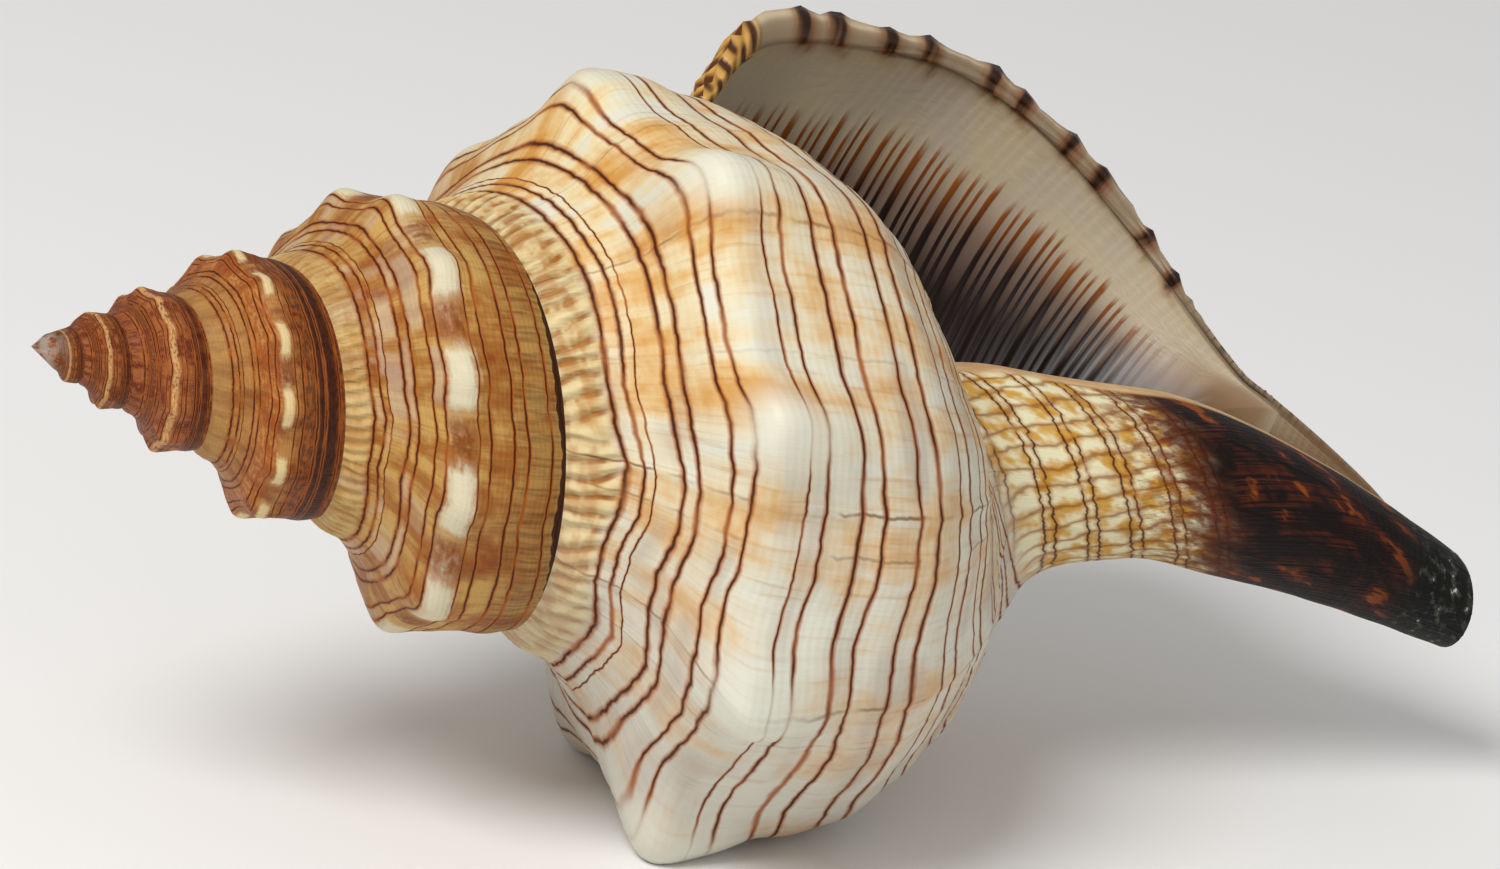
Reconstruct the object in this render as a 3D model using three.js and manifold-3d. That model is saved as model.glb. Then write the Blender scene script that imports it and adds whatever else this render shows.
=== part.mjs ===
// Trapezium horse conch shell, in millimetres.
// The shell is one closed body: a tube that widens as it winds about a straight axis, open at the lip,
// drawn out in front into a long, slightly bent canal with a slit along it.
// Inside this file x runs along the winding axis from the apex to the canal, and "turn" counts the
// winding: 0 is the outer lip, -1 is one turn earlier, and so on back to the apex.
import * as THREE from "three";
import Module from "manifold-3d";

const wasm = await Module();
wasm.setup();

// Winding: every point of the profile moves out by this factor in one turn.
const GROWTH = 1.6675;
const FIRST_TURN = -6;
const APEX_TIP_X = 1.4;

// Profile of the last whorl at the lip, as [distance along the axis, distance from it].
const SUTURE = [62.8, 25.9];
const RAMP = [71.4, 30.9];
const SHOULDER = [81.6, 42.9];
const SIDE = [93.0, 44.2];
const OVERLAP = [SUTURE[0] * GROWTH, SUTURE[1] * GROWTH];
const BASE = [114.2, 36.4];
const BELLY = [120.8, 28.4];
const NECK = [124.4, 20.8];
const ROOT = [128.2, 14.0];
const WHORL = [SUTURE, RAMP, SHOULDER, SIDE, OVERLAP, BASE, BELLY, NECK, ROOT];

// Canal: it keeps its place along the axis whatever the turn.
const CANAL_TOP_X = 134;
const CANAL_END_X = 151;
const LIP_END_X = 146.5;
const CANAL_BEND = 9;
const CANAL_BEND_FROM_X = 115;
const CANAL_BEND_TURN = -0.417;
const CANAL_BEND_POWER = 1.5;
const CANAL_SHIFT_X = [88, 115];
const SLIT_TURNS = 0.075;
const SLIT_PLACES = { from: 5, over: 4 };

// Outside radius along the canal and along the wing that the lip makes on it.
const CANAL_TAPER = { from: 118, over: 33, radius: 8.1, change: -3.5, power: 1.2 };
const WING_TAPER = { from: 128, over: 18.5, radius: 15.8, change: -9.3, power: 0.8 };

// Changes of the profile towards the lip, each over the last part of a turn.
const WING_LIFT = 2.8;
const NECK_SHARE_OF_LIFT = 0.4;
const WING_TURNS = 0.28;
const LIP_SWELL = 1.6;
const SWELL_TURNS = 0.08;
const LIP_END_TURNS = 0.16;
const FIRST_TURNS = 0.6;

// Knobs on the shoulder.
const KNOB_HEIGHT = 6.2;
const LAST_KNOBS = [
  { turn: 0.1, height: 0.3 },
  { turn: 0, height: 0.35 },
  { turn: -0.105, height: 0.8 },
  { turn: -0.205, height: 0.8 },
  { turn: -0.31, height: 0.6 },
  { turn: -0.424, height: 1.2 },
];
const NEAR_KNOB_STEP = 0.12;
const OLD_KNOB_STEP = 0.0855;
const KNOB_STEP_CHANGE = { from: -1.9, over: 0.9 };
const OLD_KNOB_HEIGHT = 0.5;
const KNOB_HEIGHT_CHANGE = { from: -0.8, over: 0.3 };
const KNOB_PLACE = 2;
const KNOB_ROUNDNESS = 2.2;
const KNOB_FOOT = 2;
const KNOB_FREE_TURNS = 0.08;
const KNOB_FIRST = { from: -5.2, over: 0.7 };
const KNOB_ABOVE = { from: 0.9, over: 1.1, power: 2.4 };
const KNOB_BELOW = [
  { share: 0.74, width: 0.85 },
  { share: 0.26, width: 2 },
];

// Walls.
const LIP_THICKNESS = 1.8;
const LIP_FORWARD = 0.9;
const WALL_GAIN = 1.6;
const GROOVE_WALL = 2.0;
const GROOVE_START_TURN = -0.05;
const GROOVE_END_TURNS = 0.06;
const GROOVE_CHANGE_PER_TURN = 1.2;
const CALLUS = 0.8;
const PILLAR_WAIST = 1.4;
const PILLAR_SHARE = 0.54;
const FLOOR_OUTER = [127.4, 14.4];
const FLOOR_LOW = [131.6, 9.4];
const FLOOR_INNER = [125.6, 9.2];
const DEEP_MIDDLE = [104, 20];
const FLOOR_PLACES = [6.6, 9.6];
const LIP_SHARE_OF_FLOOR = 0.62;
const FLOOR_TURNS = 0.1;
const SETTLED_TURNS = 0.13;
const CAVITY_NEAR_TURNS = [0.012, 0.03, 0.052, 0.076, 0.1, 0.13, 0.17, 0.22];
const CAVITY_FAR_TURN = -0.29;
const CAVITY_RINGS_PER_TURN = 12;
const CAVITY_END_TURN = -2.3;
const CAVITY_TIP_TURNS = 0.03;

// Rest: the way down when the shell lies as in the photo, and the depth of the flats worn there.
const DOWN = new THREE.Vector3(0.114, -0.666, -0.738);
const WEAR = 0.25;

// Rows of facets in each span of the profile, from the suture to the end of the canal.
const SPAN_ROWS = [2, 3, 3, 2, 3, 3, 2, 2, 2, 2, 1, 1, 1, 1, 2];
const OVERLAP_SPAN = 4;
const ROOT_SPAN = 8;
const CANAL_TOP_SPAN = 11;
const COLUMNS = { 1: 60, 2: 60, 3: 60, 4: 30, 5: 30, 6: 15 };
const RIM_STEPS = 3;
const GROOVE_STEPS = 8;
const KEYS_PER_TURN = 240;

const lerp = (a, b, f) => a + (b - a) * f;
const clamp01 = (x) => Math.min(Math.max(x, 0), 1);
const smooth = (x) => clamp01(x) ** 2 * (3 - 2 * clamp01(x));
const scaleAt = (turn) => GROWTH ** turn;

// Position along the profile of each row, counted in spans.
const rows = [0];
SPAN_ROWS.forEach((count, span) => {
  for (let i = 1; i <= count; i += 1) rows.push(span + i / count);
});
const overlapRow = rows.indexOf(OVERLAP_SPAN);
const canalRow = rows.indexOf(CANAL_TOP_SPAN);
const lastRow = rows.length - 1;

// Radius of the canal's outside, back from the lip, and of the wing that the lip makes on it.
function canalRadius(x) {
  const { from, over, radius, change, power } = CANAL_TAPER;
  return radius + change * clamp01((x - from) / over) ** power;
}

function wingRadius(x) {
  const { from, over, radius, change, power } = WING_TAPER;
  return radius + change * (1 - (1 - clamp01((x - from) / over)) ** power);
}

// How far the canal's middle lies off the winding axis.
function canalOffset(x) {
  const along = (x - CANAL_BEND_FROM_X) / (CANAL_END_X - CANAL_BEND_FROM_X);
  const [from, to] = CANAL_SHIFT_X;
  return smooth((x - from) / (to - from)) + CANAL_BEND * Math.max(along, 0) ** CANAL_BEND_POWER;
}

// Stations of the profile at a turn: the whorl's, scaled, then those of the canal.
function stationsAt(turn) {
  const size = scaleAt(turn);
  const cone = SUTURE[1] / SUTURE[0];
  const formed = smooth((turn - FIRST_TURN) / FIRST_TURNS);
  const stations = WHORL.map(([x, r]) => [x * size, lerp(x * cone, r, formed) * size]);
  const rootX = ROOT[0] * size;
  const end = lerp(CANAL_END_X, LIP_END_X, smooth(1 + turn / LIP_END_TURNS));
  const wing = smooth(1 + turn / WING_TURNS);
  const radius = (x) => lerp(canalRadius(x), wingRadius(x), wing);
  stations[1][1] += LIP_SWELL * smooth(1 + turn / SWELL_TURNS);
  stations[ROOT_SPAN][1] += WING_LIFT * wing;
  stations[ROOT_SPAN - 1][1] += NECK_SHARE_OF_LIFT * WING_LIFT * wing;
  for (const f of [1 / 3, 2 / 3, 1]) {
    const x = lerp(rootX, CANAL_TOP_X, f);
    stations.push([x, radius(x)]);
  }
  for (const f of [0.25, 0.5, 0.75, 1]) {
    const x = lerp(CANAL_TOP_X, end, f);
    stations.push([x, radius(x)]);
  }
  return stations;
}

// Point and direction of a smooth curve through the stations.
function alongProfile(stations, place) {
  const last = stations.length - 1;
  const i = Math.min(Math.floor(place), last - 1);
  const f = place - i;
  const length = (k) => Math.hypot(
    stations[k + 1][0] - stations[k][0],
    stations[k + 1][1] - stations[k][1],
  );
  const slope = (k, axis) => {
    const before = Math.max(k - 1, 0);
    const after = Math.min(k, last - 1);
    const a = length(before);
    const b = length(after);
    const rise = (s) => (stations[s + 1][axis] - stations[s][axis]) / length(s);
    return (rise(before) * b + rise(after) * a) / (a + b);
  };
  const d = length(i);
  return [0, 1].map((axis) => {
    const p = stations[i][axis];
    const q = stations[i + 1][axis];
    const m = slope(i, axis) * d;
    const n = slope(i + 1, axis) * d;
    const at = p * (2 * f ** 3 - 3 * f ** 2 + 1) + m * (f ** 3 - 2 * f ** 2 + f)
      + q * (3 * f ** 2 - 2 * f ** 3) + n * (f ** 3 - f ** 2);
    const along = (p - q) * (6 * f ** 2 - 6 * f) + m * (3 * f ** 2 - 4 * f + 1)
      + n * (3 * f ** 2 - 2 * f);
    return { at, along };
  });
}

// Where the knobs sit: closer together on the older whorls, and lower there for their size.
const knobs = [...LAST_KNOBS];
while (knobs[knobs.length - 1].turn > FIRST_TURN - 1) {
  const { turn } = knobs[knobs.length - 1];
  const nearness = smooth((turn - KNOB_STEP_CHANGE.from) / KNOB_STEP_CHANGE.over);
  const next = turn - lerp(OLD_KNOB_STEP, NEAR_KNOB_STEP, nearness);
  const age = smooth((KNOB_HEIGHT_CHANGE.from - next) / KNOB_HEIGHT_CHANGE.over);
  knobs.push({ turn: next, height: lerp(1, OLD_KNOB_HEIGHT, age) });
}

// Height of the knobs above the plain profile.
function knobHeight(turn, place) {
  const next = knobs.findIndex((knob) => knob.turn <= turn);
  const step = knobs[next - 1].turn - knobs[next].turn;
  const phase = (turn - knobs[next].turn) / step;
  const round = (f) => (0.5 + 0.5 * Math.cos(Math.PI * f)) ** KNOB_ROUNDNESS;
  const wave = knobs[next].height * round(phase * 2 > 1 ? 1 : phase * 2)
    + knobs[next - 1].height * round(phase * 2 < 1 ? 1 : 2 - phase * 2);
  const past = place - KNOB_PLACE;
  const free = smooth((turn + 1) / KNOB_FREE_TURNS);
  const foot = lerp(1 - smooth(past / KNOB_FOOT), 1, free);
  const above = smooth((place - KNOB_ABOVE.from) / KNOB_ABOVE.over) ** KNOB_ABOVE.power;
  const grown = smooth((turn - KNOB_FIRST.from) / KNOB_FIRST.over);
  const bell = ({ share, width }) => share * Math.exp(-((past / width) ** 2));
  const below = bell(KNOB_BELOW[0]) + bell(KNOB_BELOW[1]);
  return KNOB_HEIGHT * wave * foot * grown * (past < 0 ? above : below);
}

// A point from its distance along the axis, its radius and its turn.
function around(x, r, turn, offset = 0) {
  const angle = 2 * Math.PI * turn;
  const bend = 2 * Math.PI * CANAL_BEND_TURN;
  return new THREE.Vector3(
    x,
    r * Math.cos(angle) + offset * Math.cos(bend),
    r * Math.sin(angle) + offset * Math.sin(bend),
  );
}

// The outside surface. inset moves the point in from it, knobbed tells whether the knobs count.
function outside(turn, place, inset = 0, knobbed = true) {
  const [x, r] = alongProfile(stationsAt(turn), place);
  const length = Math.hypot(x.along, r.along);
  const knob = knobbed ? knobHeight(turn, place) * scaleAt(turn) : 0;
  const px = x.at + (r.along / length) * inset;
  const pr = r.at - (x.along / length) * inset + knob;
  return around(px, pr, turn, canalOffset(px));
}

const points = [];
const faces = [];
const known = new Map();

function vertex(key, make) {
  if (!known.has(key)) {
    known.set(key, points.length);
    points.push(make());
  }
  return known.get(key);
}

function triangle(a, b, c) {
  if (a !== b && b !== c && c !== a) faces.push(a, b, c);
}

// Facets between two lines of vertices that run the same way.
function strip(first, second) {
  let i = 0;
  let j = 0;
  const n = first.length - 1;
  const m = second.length - 1;
  while (i < n || j < m) {
    if (j < m && (i === n || (j + 0.5) / m <= (i + 0.5) / n)) {
      triangle(first[i], second[j], second[j + 1]);
      j += 1;
    } else {
      triangle(first[i], second[j], first[i + 1]);
      i += 1;
    }
  }
}

// Facets between two lines with as many vertices each.
function band(first, second) {
  for (let i = 0; i + 1 < first.length; i += 1) {
    triangle(first[i], second[i], second[i + 1]);
    triangle(first[i], second[i + 1], first[i + 1]);
  }
}

// A vertex of the spire. The lower edge of a whorl is the upper edge of the next one.
function spireVertex(turn, row) {
  if (row === overlapRow) return spireVertex(turn + 1, 0);
  return vertex(`${Math.round(turn * KEYS_PER_TURN)} ${row}`, () => outside(turn, rows[row]));
}

// A vertex of the last whorl. In the canal its first column stands back from the slit.
function bodyVertex(column, row) {
  const turn = -1 + column / COLUMNS[1];
  if (row === 0 || (column === 0 && row < overlapRow)) return spireVertex(turn, row);
  if (column === 0 && row === overlapRow) return spireVertex(0, 0);
  const gap = SLIT_TURNS * smooth((rows[row] - SLIT_PLACES.from) / SLIT_PLACES.over);
  const shifted = lerp(gap - 1, 0, column / COLUMNS[1]);
  return vertex(`body ${column} ${row}`, () => outside(shifted, rows[row]));
}

const bodyColumn = (column) => rows.map((_, row) => bodyVertex(column, row));

// The spire, whorl by whorl.
for (let whorl = -FIRST_TURN; whorl > 1; whorl -= 1) {
  const count = COLUMNS[whorl];
  const spireColumn = (turn) => rows.slice(0, overlapRow + 1).map((_, row) => spireVertex(turn, row));
  for (let i = 0; i < count; i += 1) {
    const turn = -whorl + i / count;
    const first = spireColumn(turn);
    const second = spireColumn(turn + 1 / count);
    band(first, second);
    if (COLUMNS[whorl - 1] > count) {
      triangle(first[overlapRow], second[overlapRow], spireVertex(turn + 1 + 0.5 / count, 0));
    }
  }
}

// The apex: a small cone over the first turn.
const tip = vertex("tip", () => new THREE.Vector3(APEX_TIP_X, 0, 0));
for (let i = 0; i < COLUMNS[6]; i += 1) {
  const turn = FIRST_TURN + i / COLUMNS[6];
  triangle(tip, spireVertex(turn + 1 / COLUMNS[6], 0), spireVertex(turn, 0));
}
for (let row = 0; row < overlapRow; row += 1) {
  triangle(tip, spireVertex(FIRST_TURN, row), spireVertex(FIRST_TURN, row + 1));
}

// The last whorl with the canal.
for (let column = 0; column < COLUMNS[1]; column += 1) {
  band(bodyColumn(column), bodyColumn(column + 1));
}

// The lip's edge, rounded over from outside to inside. Where it starts it lies on the whorl before.
function rimVertex(row, step) {
  if (step === 0) return bodyVertex(COLUMNS[1], row);
  if (row === 0) return bodyVertex(0, overlapRow + step);
  const depth = step / RIM_STEPS;
  const forward = LIP_FORWARD * Math.sin(Math.PI * depth);
  return vertex(`rim ${row} ${step}`, () => {
    const point = outside(0, rows[row], LIP_THICKNESS * depth, step < RIM_STEPS);
    return point.setZ(point.z + forward);
  });
}

const rimLine = (step) => rows.map((_, row) => rimVertex(row, step));
for (let step = 0; step < RIM_STEPS; step += 1) band(rimLine(step), rimLine(step + 1));

// The groove inside the canal, from the lip's wing round to the inner lip.
function grooveVertex(row, step) {
  if (step === 0) return rimVertex(row, RIM_STEPS);
  if (step === GROOVE_STEPS) return bodyVertex(0, row);
  return vertex(`groove ${row} ${step}`, () => {
    const end = SLIT_TURNS - 1 + GROOVE_END_TURNS;
    const turn = lerp(GROOVE_START_TURN, end, (step - 1) / (GROOVE_STEPS - 2));
    const [x] = alongProfile(stationsAt(turn), rows[row]);
    const change = smooth(-turn * GROOVE_CHANGE_PER_TURN);
    const wall = lerp(GROOVE_WALL, PILLAR_SHARE * canalRadius(x.at), change);
    return outside(turn, rows[row], wall, false);
  });
}

const grooveLine = (row) => Array.from({ length: GROOVE_STEPS + 1 }, (_, step) => grooveVertex(row, step));
for (let row = canalRow; row < lastRow; row += 1) band(grooveLine(row + 1), grooveLine(row));

// The canal's cut end.
const canalEndOutside = Array.from({ length: COLUMNS[1] + 1 }, (_, i) => bodyVertex(COLUMNS[1] - i, lastRow));
const lipEnd = Array.from({ length: RIM_STEPS }, (_, i) => rimVertex(lastRow, i + 1));
strip([rimVertex(lastRow, 0)], lipEnd);
strip(canalEndOutside, grooveLine(lastRow));

// The cavity starts at a ring made of the lip's inside, the top of the groove and the inner lip. Each point
// of the ring leads to the wall or to the floor deep inside the whorl, or to both by the share "low".
const mouth = [];
const [floorFrom, floorTo] = FLOOR_PLACES;
for (let row = 0; row <= canalRow; row += 1) {
  const low = smooth((rows[row] - floorFrom) / (floorTo - floorFrom));
  const along = Math.max(rows[row] - floorFrom, 0) / (CANAL_TOP_SPAN - floorFrom);
  mouth.push({ id: rimVertex(row, RIM_STEPS), low, along: along * LIP_SHARE_OF_FLOOR });
}
for (let step = 1; step < GROOVE_STEPS; step += 1) {
  const along = lerp(LIP_SHARE_OF_FLOOR, 1, step / GROOVE_STEPS);
  mouth.push({ id: grooveVertex(canalRow, step), low: 1, along });
}
for (let row = canalRow; row > overlapRow + RIM_STEPS; row -= 1) {
  mouth.push({ id: bodyVertex(0, row), low: 0, place: rows[row] });
}

// Where the ring's points lie deep inside the whorl, at the lip's scale.
for (const part of mouth) {
  const { x, y, z } = points[part.id];
  part.x = x;
  part.r = Math.hypot(y, z);
  part.turn = Math.atan2(z, y) / 2 / Math.PI;
  part.deepX = x;
  part.deepR = part.r - WALL_GAIN;
  if (part.low > 0) {
    const curve = (axis) => lerp(
      lerp(FLOOR_OUTER[axis], FLOOR_LOW[axis], part.along),
      lerp(FLOOR_LOW[axis], FLOOR_INNER[axis], part.along),
      part.along,
    );
    part.floor = [curve(0), curve(1)];
  }
  if (part.place) {
    const down = clamp01((part.place - ROOT_SPAN) / (CANAL_TOP_SPAN - ROOT_SPAN));
    const root = [ROOT[0] / GROWTH, ROOT[1] / GROWTH + CALLUS];
    if (down > 0) part.deepX = lerp(root[0], FLOOR_INNER[0], down);
    part.deepR = down > 0 ? lerp(root[1], FLOOR_INNER[1], down) : part.r + CALLUS;
    part.deepR -= PILLAR_WAIST * Math.sin(Math.PI * down);
  }
}

function cavityPoint(part, turn) {
  const size = scaleAt(turn);
  const settled = smooth(-turn / SETTLED_TURNS);
  const wall = around(
    lerp(part.x, part.deepX, settled) * size,
    lerp(part.r, part.deepR, settled) * size,
    turn + part.turn * (1 - settled),
  );
  if (part.low === 0) return wall;
  const deep = around(part.floor[0] * size, part.floor[1] * size, turn);
  const floor = around(part.x, part.r, part.turn).lerp(deep, smooth(-turn / FLOOR_TURNS));
  return wall.lerp(floor, part.low);
}

const cavityTurns = CAVITY_NEAR_TURNS.map((turn) => -turn);
for (let turn = CAVITY_FAR_TURN; turn > CAVITY_END_TURN; turn -= 1 / CAVITY_RINGS_PER_TURN) {
  cavityTurns.push(turn);
}
let ring = mouth.map((part) => part.id);
for (const turn of cavityTurns) {
  const next = mouth.map((part, i) => vertex(`cavity ${turn} ${i}`, () => cavityPoint(part, turn)));
  band(ring.concat(ring[0]), next.concat(next[0]));
  ring = next;
}
const deepest = cavityTurns[cavityTurns.length - 1];
const bottom = vertex("bottom", () => around(
  DEEP_MIDDLE[0] * scaleAt(deepest),
  DEEP_MIDDLE[1] * scaleAt(deepest),
  deepest - CAVITY_TIP_TURNS,
));
ring.forEach((id, i) => triangle(id, bottom, ring[(i + 1) % ring.length]));

// The shell lies on the last whorl, on two knobs and the rib between them. DOWN is where the ground is.
const down = DOWN.clone().normalize();
const up = down.clone().negate();
const along = new THREE.Vector3(1, 0, 0).addScaledVector(up, -up.x).normalize();
const across = up.clone().cross(along);
const lying = new THREE.Matrix4().makeBasis(along, across, up).transpose();
for (const point of points) point.applyMatrix4(lying);

const box = new THREE.Box3().setFromPoints(points);
const centre = box.getCenter(new THREE.Vector3());
for (const point of points) point.sub(new THREE.Vector3(centre.x, centre.y, box.min.z + WEAR));

// Wear has ground small flats where it lies.
const whole = new wasm.Manifold(new wasm.Mesh({
  numProp: 3,
  vertProperties: new Float32Array(points.flatMap((point) => point.toArray())),
  triVerts: new Uint32Array(faces),
}));
const worn = whole.trimByPlane([0, 0, 1], 0).getMesh();

const geometry = new THREE.BufferGeometry();
geometry.setAttribute("position", new THREE.BufferAttribute(worn.vertProperties, worn.numProp));
geometry.setIndex(new THREE.BufferAttribute(worn.triVerts, 1));
geometry.computeVertexNormals();

const shellMaterial = new THREE.MeshStandardMaterial({ color: 0xe3cda4, roughness: 0.42, metalness: 0 });
const shell = new THREE.Mesh(geometry, shellMaterial);
shell.name = "shell";

const group = new THREE.Group();
group.add(shell);
export default group;
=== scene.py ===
"""Trapezium horse conch shell: the shell in full detail, with its floor, lights and camera.

The shell is one grown piece. Its surface is worked out in millimetres from the law of its growth: a profile
that winds about an axis and widens by the same factor in every turn. Geometry Nodes add the fine relief, and
the finishes follow two coordinates of the surface: the turn, 0 at the lip and -1 one turn earlier, and the
line, the distance along the profile from the suture, in millimetres at the lip's scale.
"""

import logging
import math
from collections.abc import Iterable
from dataclasses import dataclass, field, fields
from enum import Enum
from functools import reduce

import bpy
import numpy as np
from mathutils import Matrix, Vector


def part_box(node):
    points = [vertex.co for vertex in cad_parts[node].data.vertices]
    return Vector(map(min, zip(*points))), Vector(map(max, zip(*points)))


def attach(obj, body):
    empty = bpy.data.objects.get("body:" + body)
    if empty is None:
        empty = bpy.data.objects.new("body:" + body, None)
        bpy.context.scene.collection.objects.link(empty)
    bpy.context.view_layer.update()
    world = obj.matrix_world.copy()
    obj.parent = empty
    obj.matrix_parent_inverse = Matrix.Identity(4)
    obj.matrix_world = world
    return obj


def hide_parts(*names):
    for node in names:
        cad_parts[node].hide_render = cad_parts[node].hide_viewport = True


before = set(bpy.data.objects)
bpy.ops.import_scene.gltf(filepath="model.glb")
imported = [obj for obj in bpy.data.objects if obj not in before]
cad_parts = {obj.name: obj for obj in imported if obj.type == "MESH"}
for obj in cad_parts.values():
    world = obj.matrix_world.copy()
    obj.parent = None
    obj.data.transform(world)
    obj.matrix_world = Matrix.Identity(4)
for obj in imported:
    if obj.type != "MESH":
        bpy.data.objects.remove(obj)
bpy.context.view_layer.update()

MM = 0.001
LOG = logging.getLogger("conch")
KEYS_PER_TURN = 960

Values = float | np.ndarray
Span = tuple[float, float]


def lerp(a: Values, b: Values, f: Values) -> Values:
    """Value between a and b at the share f."""
    return a + (b - a) * f


def clamp01(x: Values) -> Values:
    """x held between 0 and 1."""
    return np.clip(x, 0.0, 1.0)


def smooth(x: Values) -> Values:
    """Smooth step from 0 to 1 while x runs from 0 to 1."""
    return clamp01(x) ** 2 * (3 - 2 * clamp01(x))


class Zone(Enum):
    """Parts of the surface that carry different relief."""

    OUTSIDE = 0
    RIM = 1
    WALL = 2
    PILLAR = 3


@dataclass(frozen=True)
class WhorlForm:
    """Outside of the shell in millimetres, x along the winding axis from the apex to the canal.

    A point has a turn and a place along the profile: 0 at the suture, 2 at the shoulder, 4 where the next
    whorl lies on it, 8 at the canal's root, 11 at the canal's top and 15 at its end.
    """

    growth: float = 1.6675
    first_turn: float = -6.0
    apex_tip: float = 1.4
    suture: tuple[float, float] = (62.8, 25.9)
    ramp: tuple[float, float] = (71.4, 30.9)
    shoulder: tuple[float, float] = (81.6, 42.9)
    side: tuple[float, float] = (93.0, 44.2)
    base: tuple[float, float] = (114.2, 36.4)
    belly: tuple[float, float] = (120.8, 28.4)
    neck: tuple[float, float] = (124.4, 20.8)
    root: tuple[float, float] = (128.2, 14.0)
    canal_top: float = 134.0
    canal_end: float = 151.0
    canal_thickness: float = 8.1
    canal_narrowing: float = 3.5
    canal_narrows_from: float = 118.0
    canal_taper: float = 1.2
    canal_sway_from: float = 88.0
    canal_bend: float = 9.0
    canal_bend_from: float = 115.0
    canal_bend_power: float = 1.5
    canal_bend_turn: float = -0.417
    slit_turns: float = 0.075
    slit_from: float = 5.0
    slit_places: float = 4.0
    lip_end: float = 146.5
    lip_end_turns: float = 0.16
    lip_swell: float = 1.6
    lip_swell_turns: float = 0.08
    wing_turns: float = 0.28
    wing_lift: float = 2.8
    neck_share_of_lift: float = 0.4
    wing_foot: float = 6.5
    wing_height: float = 9.3
    wing_from: float = 128.0
    wing_roundness: float = 0.8
    apex_turns: float = 0.6
    knob_height: float = 6.2
    knob_place: float = 2.0
    knob_foot: float = 0.9
    knob_roundness: float = 2.2
    knob_power_above: float = 2.4
    knob_falls_below: tuple[Span, ...] = ((0.74, 0.85), (0.26, 2.0))
    knob_free_turns: float = 0.08
    first_knob_turn: float = -5.2
    first_knob_turns: float = 0.7
    last_knobs: tuple[tuple[float, float], ...] = (
        (0.1, 0.3), (0.0, 0.35), (-0.105, 0.8), (-0.205, 0.8), (-0.31, 0.6), (-0.424, 1.2),
    )
    near_knob_step: float = 0.12
    near_knob_turn: float = -1.9
    near_knob_turns: float = 0.9
    old_knob_step: float = 0.0855
    old_knob_share: float = 0.5
    old_knob_turn: float = -0.8
    old_knob_turns: float = 0.3
    last_place: float = 15.0
    root_place: float = 8.0
    line_turn: float = -0.3
    line_steps: int = 1500
    canal_place_mm: float = 6.0

    @property
    def overlap(self) -> tuple[float, float]:
        """Point of the profile on which the next whorl's suture lies."""
        return self.suture[0] * self.growth, self.suture[1] * self.growth

    def size(self, turn: np.ndarray) -> np.ndarray:
        """Scale of the whorl at a turn, 1 at the lip."""
        return self.growth ** np.asarray(turn, float)

    def canal_radius(self, x: np.ndarray) -> np.ndarray:
        """Radius of the canal's outside, back from the lip."""
        along = (x - self.canal_narrows_from) / (self.canal_end - self.canal_narrows_from)
        return self.canal_thickness - self.canal_narrowing * clamp01(along) ** self.canal_taper

    def wing_radius(self, x: np.ndarray) -> np.ndarray:
        """Radius of the wing that the lip makes on the canal."""
        along = (x - self.wing_from) / (self.lip_end - self.wing_from)
        return self.wing_foot + self.wing_height * (1 - clamp01(along)) ** self.wing_roundness

    def canal_offset(self, x: np.ndarray) -> np.ndarray:
        """Distance of the canal's middle from the winding axis."""
        sway = smooth((x - self.canal_sway_from) / (self.canal_bend_from - self.canal_sway_from))
        along = (x - self.canal_bend_from) / (self.canal_end - self.canal_bend_from)
        return sway + self.canal_bend * np.maximum(along, 0) ** self.canal_bend_power

    def slit(self, place: Values) -> Values:
        """Turns by which the last whorl stands back from its own lip, along the canal."""
        return self.slit_turns * smooth((place - self.slit_from) / self.slit_places)

    def stations(self, turn: np.ndarray) -> tuple[np.ndarray, np.ndarray]:
        """Points that the profile passes at each turn.

        Args:
            turn: turns, one for each profile.

        Returns:
            Distances along the axis and from it, one row for each turn.
        """
        turn = np.asarray(turn, float)[:, None]
        whorl = np.array([
            self.suture, self.ramp, self.shoulder, self.side, self.overlap,
            self.base, self.belly, self.neck, self.root,
        ])
        size = self.size(turn)
        cone = self.suture[1] / self.suture[0]
        x = whorl[:, 0] * size
        r = lerp(whorl[:, 0] * cone, whorl[:, 1], smooth((turn - self.first_turn) / self.apex_turns)) * size
        wing = smooth((turn + self.wing_turns) / self.wing_turns)
        r[:, 1:2] += self.lip_swell * smooth((turn + self.lip_swell_turns) / self.lip_swell_turns)
        r[:, 8:9] += self.wing_lift * wing
        r[:, 7:8] += self.neck_share_of_lift * self.wing_lift * wing
        neck_x = lerp(x[:, 8:9], self.canal_top, np.array([1, 2, 3]) / 3)
        end = lerp(self.canal_end, self.lip_end, smooth((turn + self.lip_end_turns) / self.lip_end_turns))
        canal_x = lerp(self.canal_top, end, np.array([1, 2, 3, 4]) / 4)
        tail_x = np.concatenate([neck_x, canal_x], 1)
        tail_r = lerp(self.canal_radius(tail_x), self.wing_radius(tail_x), wing)
        return np.concatenate([x, tail_x], 1), np.concatenate([r, tail_r], 1)

    def profile(self, turn: np.ndarray, place: np.ndarray) -> list[tuple[np.ndarray, np.ndarray]]:
        """Smooth curve through the stations.

        Args:
            turn: turns.
            place: places along the profile, as many as turns.

        Returns:
            For the distance along the axis and the one from it, the value and its rate along the place.
        """
        tables = self.stations(turn)
        last = tables[0].shape[1] - 1
        steps = np.hypot(*(np.diff(table, axis=1) for table in tables))
        at = np.clip(np.floor(place).astype(int), 0, last - 1)
        f = place - at

        def take(table: np.ndarray, k: np.ndarray) -> np.ndarray:
            """Column k of each row."""
            return np.take_along_axis(table, k[:, None], 1)[:, 0]

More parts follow.
